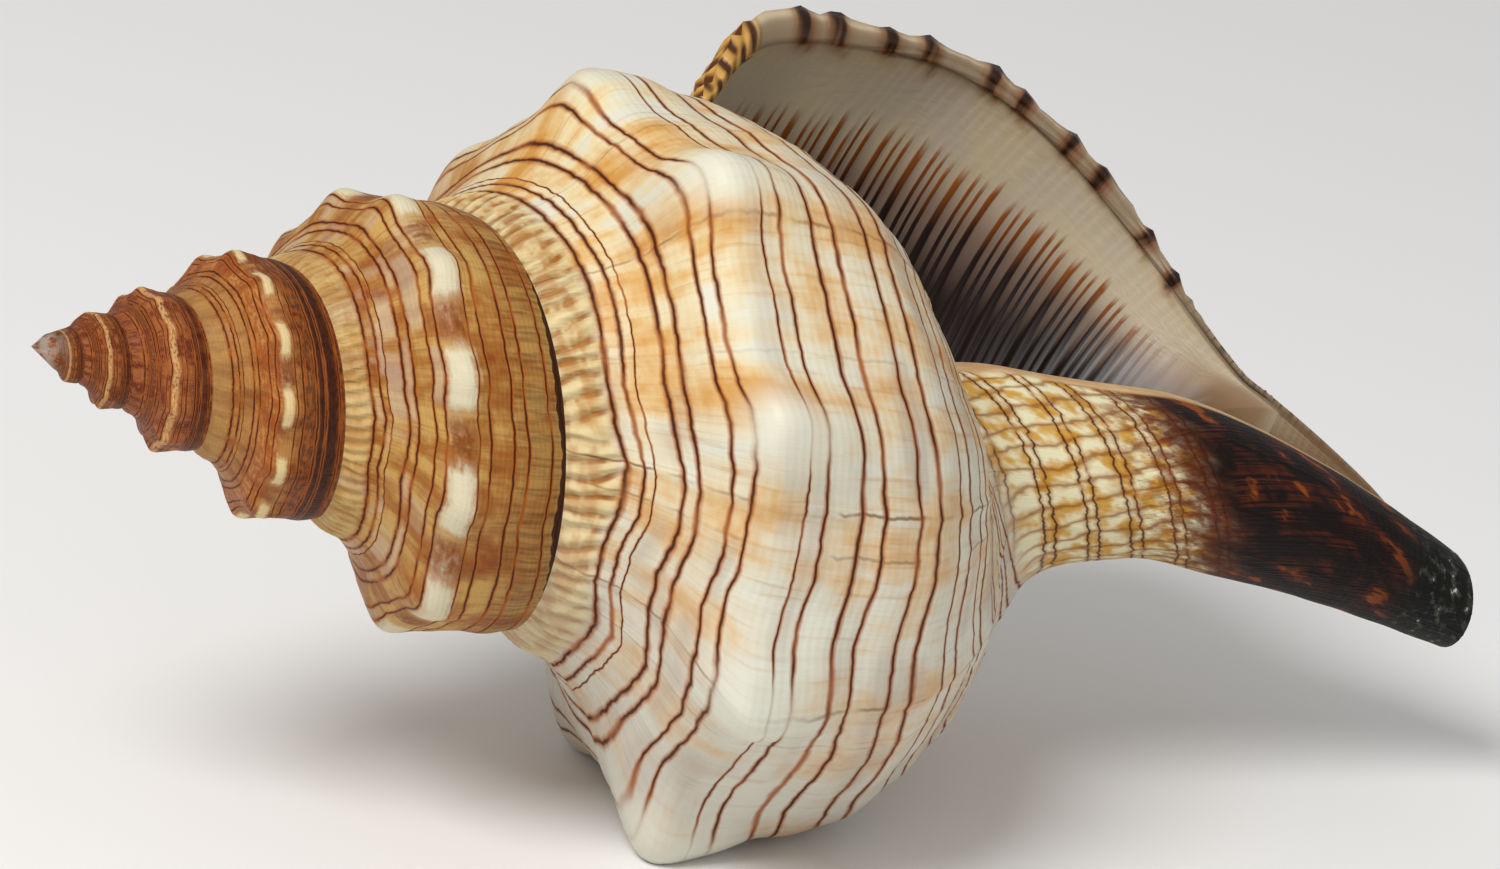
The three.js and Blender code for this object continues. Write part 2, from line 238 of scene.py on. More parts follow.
        def slope(table: np.ndarray, k: np.ndarray) -> np.ndarray:
            """Rate per millimetre at station k, weighted by the spans beside it."""
            before, after = np.maximum(k - 1, 0), np.minimum(k, last - 1)
            a, b = take(steps, before), take(steps, after)
            rise = np.diff(table, axis=1) / steps
            return (take(rise, before) * b + take(rise, after) * a) / (a + b)

        length = take(steps, at)
        found = []
        for table in tables:
            p, q = take(table, at), take(table, at + 1)
            m, n = slope(table, at) * length, slope(table, at + 1) * length
            value = (p * (2 * f**3 - 3 * f**2 + 1) + m * (f**3 - 2 * f**2 + f)
                     + q * (3 * f**2 - 2 * f**3) + n * (f**3 - f**2))
            rate = (p - q) * (6 * f**2 - 6 * f) + m * (3 * f**2 - 4 * f + 1) + n * (3 * f**2 - 2 * f)
            found.append((value, rate))
        return found

    def knobs(self) -> tuple[np.ndarray, np.ndarray]:
        """Turns and heights of the knobs, from the lip back to the apex."""
        turns = [turn for turn, _ in self.last_knobs]
        heights = [height for _, height in self.last_knobs]
        while turns[-1] > self.first_turn - 1:
            near = float(smooth((turns[-1] - self.near_knob_turn) / self.near_knob_turns))
            step = lerp(self.old_knob_step, self.near_knob_step, near)
            old = float(smooth((step - turns[-1] + self.old_knob_turn) / self.old_knob_turns))
            heights.append(lerp(1, self.old_knob_share, old))
            turns.append(turns[-1] - step)
        return np.array(turns), np.array(heights)

    def knob(self, turn: np.ndarray, place: np.ndarray) -> np.ndarray:
        """Height of the knobs above the plain profile, at the lip's scale."""
        turns, heights = self.knobs()
        after = np.searchsorted(-turns, -turn, side="left")
        phase = (turn - turns[after]) / (turns[after - 1] - turns[after])

        def rounded(f: np.ndarray) -> np.ndarray:
            """Knob's form from its top, 0, to the valley beside it, 1."""
            return (0.5 + 0.5 * np.cos(np.pi * np.minimum(f, 1))) ** self.knob_roundness

        wave = heights[after] * rounded(phase * 2) + heights[after - 1] * rounded(2 - phase * 2)
        down = place - self.knob_place
        foot = lerp(1 - smooth(down / self.knob_place), 1, smooth((turn + 1) / self.knob_free_turns))
        above = smooth((place - self.knob_foot) / (self.knob_place - self.knob_foot)) ** self.knob_power_above
        below = sum(share * np.exp(-((down / reach) ** 2)) for share, reach in self.knob_falls_below)
        grown = smooth((turn - self.first_knob_turn) / self.first_knob_turns)
        return self.knob_height * wave * foot * grown * np.where(down < 0, above, below)

    def around(self, x: Values, r: Values, turn: Values, offset: Values = 0.0) -> np.ndarray:
        """Points from their distance along the axis, their radius and their turn."""
        bend = 2 * math.pi * self.canal_bend_turn
        return np.stack([
            x,
            r * np.cos(2 * np.pi * turn) + offset * math.cos(bend),
            r * np.sin(2 * np.pi * turn) + offset * math.sin(bend),
        ], -1)

    def outside(self, turn: np.ndarray, place: np.ndarray, inset: Values, knobs: Values) -> np.ndarray:
        """Points of the outside.

        Args:
            turn: turns.
            place: places along the profile.
            inset: distance in from the surface.
            knobs: share of the knobs that counts.

        Returns:
            One point a row.
        """
        (x, dx), (r, dr) = self.profile(turn, place)
        length = np.hypot(dx, dr)
        px = x + dr / length * inset
        pr = r - dx / length * inset + knobs * self.knob(turn, place) * self.size(turn)
        return self.around(px, pr, turn, self.canal_offset(px))

    def line(self, place: np.ndarray) -> np.ndarray:
        """Distance along the lip's profile from the suture to each place."""
        fine = np.linspace(0, self.last_place, self.line_steps + 1)
        (x, _), (r, _) = self.profile(np.full_like(fine, self.line_turn), fine)
        whorl = np.hypot(np.diff(x), np.diff(r)) / self.size(self.line_turn)
        tail = np.diff(fine) * self.canal_place_mm
        steps = np.where(fine[1:] <= self.root_place, whorl, tail)
        return np.interp(place, fine, np.concatenate([[0], np.cumsum(steps)]))


Corner = tuple[int, float, float]
"""A vertex's number, its turn and its place along the profile."""


@dataclass(frozen=True)
class Mouth:
    """Ring of corners at which the hollow starts, and the section that it takes deep inside."""

    corners: list[Corner]
    zones: list[Zone]
    start: np.ndarray
    deep: tuple[np.ndarray, np.ndarray]
    floor: tuple[np.ndarray, np.ndarray]
    low: np.ndarray
    settle_turns: float = 0.13
    floor_turns: float = 0.1

    def ring(self, form: WhorlForm, turn: float) -> np.ndarray:
        """Points of the hollow's section at a turn, moving from the mouth's ring to the deep form."""
        size = float(form.size(turn))
        x, r = self.start[:, 0], np.hypot(self.start[:, 1], self.start[:, 2])
        own_turn = np.arctan2(self.start[:, 2], self.start[:, 1]) / 2 / np.pi
        settled = float(smooth(-turn / self.settle_turns))
        wound = form.around(lerp(x, self.deep[0], settled) * size, lerp(r, self.deep[1], settled) * size,
                            turn + own_turn * (1 - settled))
        deep = form.around(self.floor[0] * size, self.floor[1] * size, np.full_like(x, turn))
        floor = lerp(self.start, deep, float(smooth(-turn / self.floor_turns)))
        return lerp(wound, floor, self.low[:, None])


@dataclass
class ShellMesh:
    """Surface of the shell as one closed mesh, in millimetres, before its relief."""

    form: WhorlForm = field(default_factory=WhorlForm)
    columns: tuple[int, ...] = (320, 320, 160, 160, 80, 40)
    span_rows: tuple[int, ...] = (10, 15, 11, 11, 11, 10, 8, 8, 12, 12, 12, 4, 4, 4, 5)
    inner_rows: tuple[int, ...] = (14, 34, 32, 34, 34, 30, 24, 16, 6, 6, 6)
    rim_steps: int = 6
    groove_steps: int = 14
    overlap_span: int = 4
    root_span: int = 8
    canal_top_span: int = 11
    coarse_ring: int = 64
    lip_thickness: float = 0.9
    lip_crest: float = 0.5
    lip_bevel: float = 0.9
    lip_radius: float = 45.0
    wall_gain: float = 2.5
    floor_from: float = 6.6
    floor_to: float = 9.6
    lip_share_of_floor: float = 0.62
    callus: float = 0.8
    pillar_waist: float = 1.4
    pillar_share: float = 0.54
    floor_outer: tuple[float, float] = (127.4, 14.4)
    floor_low: tuple[float, float] = (131.6, 9.4)
    floor_inner: tuple[float, float] = (125.6, 9.2)
    deep_middle: tuple[float, float] = (104.0, 20.0)
    groove_start: float = -0.05
    groove_end: float = -0.94
    groove_wall: float = 2.0
    groove_narrowing: float = 1.2
    near_rings: tuple[float, ...] = (
        0.003, 0.008, 0.014, 0.022, 0.032, 0.043, 0.055, 0.068, 0.082, 0.096, 0.11,
    )
    rings_from: float = 0.125
    rings_step: float = 0.0125
    visible_depth: float = -0.56
    tip_turns: float = 0.03
    deep_rings_per_turn: int = 24
    cavity_end: float = -2.3

    def __post_init__(self) -> None:
        """Starts the lists that the making fills."""
        self.known: dict[tuple, int] = {}
        self.spec: list[tuple[float, float, float, float, float]] = []
        self.zones: list[float] = []
        self.explicit: dict[int, tuple[float, float, float]] = {}
        self.faces: list[tuple[int, ...]] = []
        self.corners: list[tuple[float, float]] = []
        self.inner: list[bool] = []
        self.inside_now = False
        self.rows = self.spread(self.span_rows)
        self.overlap_row = self.rows.index(self.overlap_span)
        self.canal_row = self.rows.index(self.canal_top_span)
        self.last_row = len(self.rows) - 1
        self.inner_places = self.spread(self.inner_rows)

    @staticmethod
    def spread(counts: tuple[int, ...]) -> list[float]:
        """Places of the rows when each span of the profile has its own count."""
        return [0.0] + [span + i / count for span, count in enumerate(counts) for i in range(1, count + 1)]

    def vertex(self, key: tuple, turn: float, place: float, inset: float = 0.0,
               knobs: float = 1.0, forward: float = 0.0, zone: Zone = Zone.OUTSIDE) -> int:
        """Number of the vertex with this key, made when it is new."""
        if key not in self.known:
            self.known[key] = len(self.spec)
            self.spec.append((turn, place, inset, knobs, forward))
            self.zones.append(zone.value)
        return self.known[key]

    def face(self, *corners: Corner) -> None:
        """Adds a face, leaving out corners that fall together."""
        kept = [c for i, c in enumerate(corners) if c[0] != corners[i - 1][0]]
        if len({c[0] for c in kept}) < 3:
            return
        self.faces.append(tuple(c[0] for c in kept))
        self.corners.extend((c[1], c[2]) for c in kept)
        self.inner.append(self.inside_now)

    def band(self, first: list[Corner], second: list[Corner]) -> None:
        """Faces between two lines of as many corners."""
        for a, b, c, d in zip(first, second, second[1:], first[1:]):
            self.face(a, b, c, d)

    def strip(self, first: list[Corner], second: list[Corner]) -> None:
        """Faces between two lines of different numbers of corners that run the same way."""
        i = j = 0
        n, m = len(first) - 1, len(second) - 1
        while i < n or j < m:
            if j < m and (i == n or (j + 0.5) / m <= (i + 0.5) / n):
                self.face(first[i], second[j], second[j + 1])
                j += 1
            else:
                self.face(first[i], second[j], first[i + 1])
                i += 1

    def spire(self, turn: float, row: int) -> int:
        """Vertex of the spire. A whorl's lower edge is the upper edge of the next one."""
        if row == self.overlap_row:
            return self.spire(turn + 1, 0)
        return self.vertex(("spire", round(turn * KEYS_PER_TURN), row), turn, self.rows[row])

    def body(self, column: int, row: int) -> int:
        """Vertex of the last whorl. In the canal its first column stands back from the slit."""
        count = self.columns[0]
        turn = column / count - 1
        if row == 0 or (column == 0 and row < self.overlap_row):
            return self.spire(turn, row)
        if column == 0 and row == self.overlap_row:
            return self.spire(0, 0)
        return self.vertex(("body", column, row), self.body_turn(column, row), self.rows[row])

    def body_turn(self, column: int, row: int) -> float:
        """Turn of a column of the last whorl, with room for the slit along the canal."""
        return lerp(float(self.form.slit(self.rows[row])) - 1, 0.0, column / self.columns[0])

    def body_column(self, column: int) -> list[Corner]:
        """Corners down one column of the last whorl."""
        return [(self.body(column, row), self.body_turn(column, row), place)
                for row, place in enumerate(self.rows)]

    def make_spire(self) -> None:
        """Whorls before the last one, each with its own fineness, and the apex."""
        oldest = len(self.columns)
        for whorl in range(oldest, 1, -1):
            count = self.columns[whorl - 1]
            finer = self.columns[whorl - 2] > count
            for i in range(count):
                turn = i / count - whorl
                first = self.spire_column(turn, whorl)
                ends = whorl == 3 and i == count - 1
                second = self.spire_column(turn + 1 / count, 2 if ends else whorl)
                (self.strip if ends else self.band)(first, second)
                if finer:
                    place = float(self.overlap_span)
                    middle = (self.spire(turn + 1 + 0.5 / count, 0), turn + 0.5 / count, place)
                    self.face(first[-1], second[-1], middle)
        count = self.columns[-1]
        tip = self.vertex(("tip",), self.form.first_turn, 0.0)
        self.explicit[tip] = (self.form.apex_tip, 0.0, 0.0)
        start = self.form.first_turn
        for i in range(count):
            a, b = start + i / count, start + (i + 1) / count
            self.face((tip, a, 0.0), (self.spire(b, 0), b, 0.0), (self.spire(a, 0), a, 0.0))
        column = self.spire_column(start, oldest)
        for a, b in zip(column, column[1:]):
            self.face((tip, start, 0.0), a, b)

    def spire_column(self, turn: float, whorl: int) -> list[Corner]:
        """Corners down a column of the spire; the older whorls have half the rows."""
        stride = 1 if whorl <= 2 else 2
        picked = list(range(0, self.overlap_row, stride)) + [self.overlap_row]
        return [(self.spire(turn, row), turn, self.rows[row]) for row in picked]

    def make_body(self) -> None:
        """Last whorl with the canal."""
        before = self.body_column(0)
        for column in range(1, self.columns[0] + 1):
            after = self.body_column(column)
            self.band(before, after)
            before = after

    def rim(self, row: int, step: int) -> Corner:
        """Corner of the lip's edge, rounded over from outside to inside."""
        place = self.rows[row]
        if step == 0:
            return self.body(self.columns[0], row), 0.0, place
        if row == 0:
            return self.body(0, self.overlap_row + step), 0.0, place
        depth = step / self.rim_steps
        forward = self.lip_crest * math.sin(math.pi * depth) - self.bevel(place) * depth ** 1.5
        number = self.vertex(("rim", row, step), 0.0, place, self.lip_thickness * depth, 1.0 - depth,
                             forward, Zone.RIM)
        return number, 0.0, place

    def bevel(self, place: float) -> float:
        """How far the inner side of the lip's edge stands back, less where the lip is narrow."""
        _, (r, _) = self.form.profile(np.array([0.0]), np.array([place]))
        return self.lip_bevel * min(float(r[0]) / self.lip_radius, 1.0) * float(smooth(np.array(place)))

    def make_rim(self) -> None:
        """Edge of the lip, from the outside to where the fine rows of the inside start."""
        lines = [[self.rim(row, step) for row in range(self.last_row + 1)] for step in range(self.rim_steps)]
        for first, second in zip(lines, lines[1:]):
            self.band(first, second)
        fine = self.lip_inside()
        coarse = lines[-1]
        self.strip(coarse[:self.canal_row + 1], fine)
        tail = [self.groove(row, 0) for row in range(self.canal_row, self.last_row + 1)]
        self.band(coarse[self.canal_row:], tail)

    def lip_inside(self) -> list[Corner]:
        """Corners along the lip's inside, from the suture to the canal's top."""
        line = []
        for i, place in enumerate(self.inner_places):
            if i == 0:
                line.append((self.body(0, self.overlap_row + self.rim_steps), 0.0, 0.0))
            elif i == len(self.inner_places) - 1:
                line.append(self.groove(self.canal_row, 0))
            else:
                back = -self.bevel(place)
                number = self.vertex(("lip", i), 0.0, place, self.lip_thickness, 0.0, back, Zone.WALL)
                line.append((number, 0.0, place))
        return line

    def groove(self, row: int, step: int) -> Corner:
        """Corner of the groove inside the canal, from the lip's wing round to the inner lip."""
        place = self.rows[row]
        if step == self.groove_steps:
            return self.body(0, row), self.body_turn(0, row), place
        if step == 0:
            number = self.vertex(("groove", row, 0), 0.0, place, self.lip_thickness, 0.0, -self.bevel(place),
                                 Zone.PILLAR)
            return number, 0.0, place
        end = self.form.slit_turns + self.groove_end
        turn = lerp(self.groove_start, end, (step - 1) / (self.groove_steps - 2))
        (x, _), _ = self.form.profile(np.array([turn]), np.array([place]))
        radius = self.pillar_share * float(self.form.canal_radius(x[0]))
        wall = lerp(self.groove_wall, radius, float(smooth(-turn * self.groove_narrowing)))
        number = self.vertex(("groove", row, step), turn, place, wall, 0.0, 0.0, Zone.PILLAR)
        return number, turn, place

    def make_groove(self) -> None:
        """Groove along the canal and the canal's end."""
        lines = [[self.groove(row, step) for step in range(self.groove_steps + 1)]
                 for row in range(self.canal_row, self.last_row + 1)]
        for above, below in zip(lines, lines[1:]):
            self.band(below, above)
        self.inside_now = False
        outer = [(self.body(column, self.last_row), 0.0, self.form.last_place)
                 for column in range(self.columns[0], -1, -1)]
        edge = [self.rim(self.last_row, step) for step in range(1, self.rim_steps)] + [lines[-1][0]]
        self.strip([outer[0]], edge)
        self.strip(outer, lines[-1])

    def mouth(self, points: np.ndarray) -> Mouth:
        """Ring round the aperture: the lip's inside, the groove's top and the pillar.

        Args:
            points: places of the vertices made so far.

        Returns:
            The ring, with the section that the hollow takes deep inside.
        """
        wall = self.lip_inside()
        groove = [self.groove(self.canal_row, step) for step in range(1, self.groove_steps)]
        rows = range(self.canal_row, self.overlap_row + self.rim_steps, -1)
        pillar = [(self.body(0, row), self.body_turn(0, row), self.rows[row]) for row in rows]
        corners = wall + groove + pillar
        parts = np.repeat(np.arange(3), [len(wall), len(groove), len(pillar)])
        on_wall, on_groove, on_pillar = (parts == part for part in range(3))
        start = points[[corner[0] for corner in corners]]
        place = np.array([corner[2] for corner in corners])
        deep_x, deep_r = start[:, 0].copy(), np.hypot(start[:, 1], start[:, 2])
        deep_r[on_wall] -= self.wall_gain
        sinking = smooth((place - self.floor_from) / (self.floor_to - self.floor_from))
        low = np.where(on_groove, 1.0, np.where(on_wall, sinking, 0.0))
        along = np.maximum(place - self.floor_from, 0) / (self.canal_top_span - self.floor_from)
        along *= self.lip_share_of_floor
        steps = np.arange(1, self.groove_steps) / self.groove_steps
        along[on_groove] = lerp(self.lip_share_of_floor, 1.0, steps)
        floor_x, floor_r = (
            lerp(lerp(outer, deep, along), lerp(deep, inner, along), along)
            for outer, deep, inner in zip(self.floor_outer, self.floor_low, self.floor_inner)
        )
        down = clamp01((place[on_pillar] - self.root_span) / (self.canal_top_span - self.root_span))
        form = self.form
        root = form.root[0] / form.growth, form.root[1] / form.growth + self.callus
        deep_x[on_pillar] = np.where(down > 0, lerp(root[0], self.floor_inner[0], down), deep_x[on_pillar])
        deep_r[on_pillar] = np.where(down > 0, lerp(root[1], self.floor_inner[1], down),
                                     deep_r[on_pillar] + self.callus)
        deep_r[on_pillar] -= self.pillar_waist * np.sin(np.pi * down)
        zones = [Zone.WALL if part == 0 else Zone.PILLAR for part in parts]
        return Mouth(corners, zones, start, (deep_x, deep_r), (floor_x, floor_r), low)

    def make_cavity(self, points: np.ndarray) -> np.ndarray:
        """Hollow of the last whorls.

        Args:
            points: places of the vertices made so far.

        Returns:
            Places of all the vertices.
        """
        mouth = self.mouth(points)
        count = len(mouth.corners)
        blocks = [points]

        def ring(turn: float, picked: Iterable[int], zones: list[Zone]) -> list[Corner]:
            """Adds the hollow's section at a turn, at the picked corners of the mouth."""
            first = len(self.spec)
            blocks.append(mouth.ring(self.form, turn)[picked])
            self.zones.extend(zones[k].value for k in picked)
            self.spec.extend((turn, mouth.corners[k][2], 0.0, 0.0, 0.0) for k in picked)
            return [(first + i, turn, mouth.corners[k][2]) for i, k in enumerate(picked)]

        fine = np.arange(self.rings_from, -self.visible_depth, self.rings_step)
        rings = [mouth.corners]
        for turn in -np.concatenate([self.near_rings, fine]):
            rings.append(ring(turn, np.arange(count), mouth.zones))
        for first, second in zip(rings, rings[1:]):
            self.band(first + first[:1], second + second[:1])
        picked = np.unique(np.linspace(0, count, self.coarse_ring, endpoint=False).astype(int))
        before = rings[-1] + rings[-1][:1]
        start = self.visible_depth - self.tip_turns
        for turn in np.arange(start, self.cavity_end, -1 / self.deep_rings_per_turn):
            after = ring(turn, picked, [Zone.PILLAR] * count)
            after.append(after[0])
            (self.band if len(before) == len(after) else self.strip)(before, after)
            before = after
        tip = len(self.spec)
        scale = float(self.form.size(turn))
        x, r = self.deep_middle
        blocks.append(self.form.around(x * scale, r * scale, turn - self.tip_turns)[None, :])
        self.zones.append(Zone.PILLAR.value)
        place = float(self.overlap_span)
        self.spec.append((turn, place, 0.0, 0.0, 0.0))
        for a, b in zip(before, before[1:]):
            self.face(a, (tip, turn, place), b)
        return np.concatenate(blocks)

    def make(self) -> np.ndarray:
        """Builds every part of the surface.

        Returns:
            Places of the vertices in millimetres, in the shell's own axes.
        """
        self.make_spire()
        self.make_body()
        self.inside_now = True
        self.make_rim()
        self.make_groove()
        self.inside_now = True
        spec = np.array(self.spec)
        points = self.form.outside(spec[:, 0], spec[:, 1], spec[:, 2], spec[:, 3])
        points[:, 2] += spec[:, 4]
        for number, place in self.explicit.items():
            points[number] = place
        return self.make_cavity(points)


@dataclass(frozen=True)
class Resting:
    """How the shell lies: the way down in its own axes, and the wear where it touches the ground."""

    down: tuple[float, float, float] = (0.114, -0.666, -0.738)
    wear: float = 0.25

    def turned(self, points: np.ndarray) -> np.ndarray:
        """Points turned so that the ground is level and the apex points to -X."""
        up = -np.array(self.down) / np.linalg.norm(self.down)
        along = np.array([1.0, 0.0, 0.0]) - up[0] * up
        along /= np.linalg.norm(along)
        return points @ np.stack([along, np.cross(up, along), up]).T

    def placed(self, points: np.ndarray, box: tuple[Vector, Vector]) -> np.ndarray:
        """Turned points moved to the solid's place, in metres.

        Args:
            points: points in the shell's own axes, in millimetres.
            box: lowest and highest corners of the solid, in metres.

        Returns:
            Points in metres.
        """
        turned = self.turned(points) * MM
        low, high = turned.min(0), turned.max(0)
        middle = (np.array(box[0]) + np.array(box[1])) / 2
        shift = middle - (low + high) / 2
        shift[2] = -self.wear * MM - low[2]
        return turned + shift


Number = "Wire | float"
Colour = tuple[float, float, float, float]


def tint(code: str) -> Colour:
    """Linear colour of a display colour given as six hexadecimal digits."""
    parts = [int(code[i:i + 2], 16) / 255 for i in (0, 2, 4)]
    return *(c / 12.92 if c <= 0.04045 else ((c + 0.055) / 1.055) ** 2.4 for c in parts), 1.0


class Wire:
    """A number in a node tree. Sums and functions of it add nodes."""

    def __init__(self, sketch: "Sketch", socket: bpy.types.NodeSocket) -> None:
        """Keeps the tree's sketch and the socket that gives the number."""
        self.sketch, self.socket = sketch, socket

    def math(self, operation: str, *others: Number) -> "Wire":
        """Result of a Math node on this number and the others."""
        node = self.sketch.node("ShaderNodeMath", operation=operation)
        for entry, value in zip(node.inputs, (self, *others)):
            self.sketch.feed(entry, value)
        return Wire(self.sketch, node.outputs[0])

    def __add__(self, other: Number) -> "Wire":
        """Sum."""
        return self.math("ADD", other)

    def __sub__(self, other: Number) -> "Wire":
        """Difference."""
        return self.math("SUBTRACT", other)

    def __mul__(self, other: Number) -> "Wire":
        """Product."""
        return self.math("MULTIPLY", other)

    def __truediv__(self, other: Number) -> "Wire":
        """Quotient."""
        return self.math("DIVIDE", other)

    def __pow__(self, other: Number) -> "Wire":
        """Power."""
        return self.math("POWER", other)

    __radd__ = __add__
    __rmul__ = __mul__

    def __rsub__(self, other: Number) -> "Wire":
        """Difference from a plain number."""
        return self * -1.0 + other

    def most(self, other: Number) -> "Wire":
        """Larger of the two numbers."""
        return self.math("MAXIMUM", other)

    def least(self, other: Number) -> "Wire":
        """Smaller of the two numbers."""
        return self.math("MINIMUM", other)

    def wave(self) -> "Wire":
        """Cosine wave between 0 and 1 with one crest at each whole number."""
        return (self * (2 * math.pi)).math("COSINE") * 0.5 + 0.5

    def rise(self, low: float, high: float) -> "Wire":
        """Smooth step from 0 at low to 1 at high; falls where low is above high."""
        node = self.sketch.node("ShaderNodeMapRange", interpolation_type="SMOOTHSTEP", clamp=True)
        self.sketch.feed(node.inputs["Value"], self)
        ends = ((low, 0.0), (high, 1.0)) if low < high else ((high, 1.0), (low, 0.0))
        for name, value in zip(("From Min", "To Min", "From Max", "To Max"), (*ends[0], *ends[1])):
            node.inputs[name].default_value = value
        return Wire(self.sketch, node.outputs["Result"])

    def near(self, at: Number, inner: float, outer: float) -> "Wire":
        """1 within inner of a value, falling to 0 at outer."""
        return (self - at).math("ABSOLUTE").rise(outer, inner)


class Sketch:
    """Writer of one node tree, for a material or for geometry."""

    def __init__(self, tree: bpy.types.NodeTree) -> None:
        """Keeps the tree."""
        self.tree = tree
        self.numbers: dict[str, Wire] = {}

    def node(self, kind: str, **settings: object) -> bpy.types.Node:
        """New node with its settings."""
        node = self.tree.nodes.new(kind)
        for name, value in settings.items():
            setattr(node, name, value)
        return node

    def feed(self, entry: bpy.types.NodeSocket, value: object) -> None:
        """Links a wire or socket to an input, or sets the input to a plain value."""
        if isinstance(value, Wire):
            self.tree.links.new(value.socket, entry)
        elif isinstance(value, bpy.types.NodeSocket):
            self.tree.links.new(value, entry)
        else:
            entry.default_value = value

    def attribute(self, name: str) -> Wire:
        """Number stored on the mesh, read once in a tree."""
        if name not in self.numbers:
            if self.tree.type == "GEOMETRY":
                node = self.node("GeometryNodeInputNamedAttribute", data_type="FLOAT")
                node.inputs["Name"].default_value = name
            else:
                node = self.node("ShaderNodeAttribute", attribute_type="GEOMETRY", attribute_name=name)
            socket = next(out for out in node.outputs if out.name in ("Attribute", "Fac"))
            self.numbers[name] = Wire(self, socket)
        return self.numbers[name]

    def combine(self, x: Number, y: Number, z: Number) -> bpy.types.NodeSocket:
        """Vector of three numbers."""
        node = self.node("ShaderNodeCombineXYZ")
        for entry, value in zip(node.inputs, (x, y, z)):
            self.feed(entry, value)
        return node.outputs[0]

    def noise(self, x: Number, y: Number, z: Number = 0.0, detail: float = 2.0, rough: float = 0.5) -> Wire:
        """Noise about 0.5 with features about one unit of x, y and z in size."""
        node = self.node("ShaderNodeTexNoise", noise_dimensions="3D")
        self.feed(node.inputs["Vector"], self.combine(x, y, z))
        node.inputs["Scale"].default_value = 1.0
        node.inputs["Detail"].default_value = detail
        node.inputs["Roughness"].default_value = rough
        return Wire(self, node.outputs[0])

    def blend(self, share: Number, first: object, second: object) -> bpy.types.NodeSocket:
        """Colour between two colours, each a socket or six hexadecimal digits."""
        node = self.node("ShaderNodeMix", data_type="RGBA")
        for entry, value in zip((node.inputs[0], node.inputs[6], node.inputs[7]), (share, first, second)):
            self.feed(entry, tint(value) if isinstance(value, str) else value)
        return node.outputs[2]


def most_of(wires: Iterable[Wire]) -> Wire:
    """Largest of several numbers."""
    return reduce(Wire.most, wires)


class Paint:
    """Colour of a finish, built up from coats that lie over one another."""

    def __init__(self, sketch: Sketch, share: Number, first: object, second: object) -> None:
        """Starts with a blend of two colours."""
        self.sketch = sketch
        self.colour = sketch.blend(share, first, second)

    def coat(self, share: Number, colour: object) -> None:
        """Lays a colour over the coats below; at share 1 it hides them."""
        self.colour = self.sketch.blend(share, self.colour, colour)


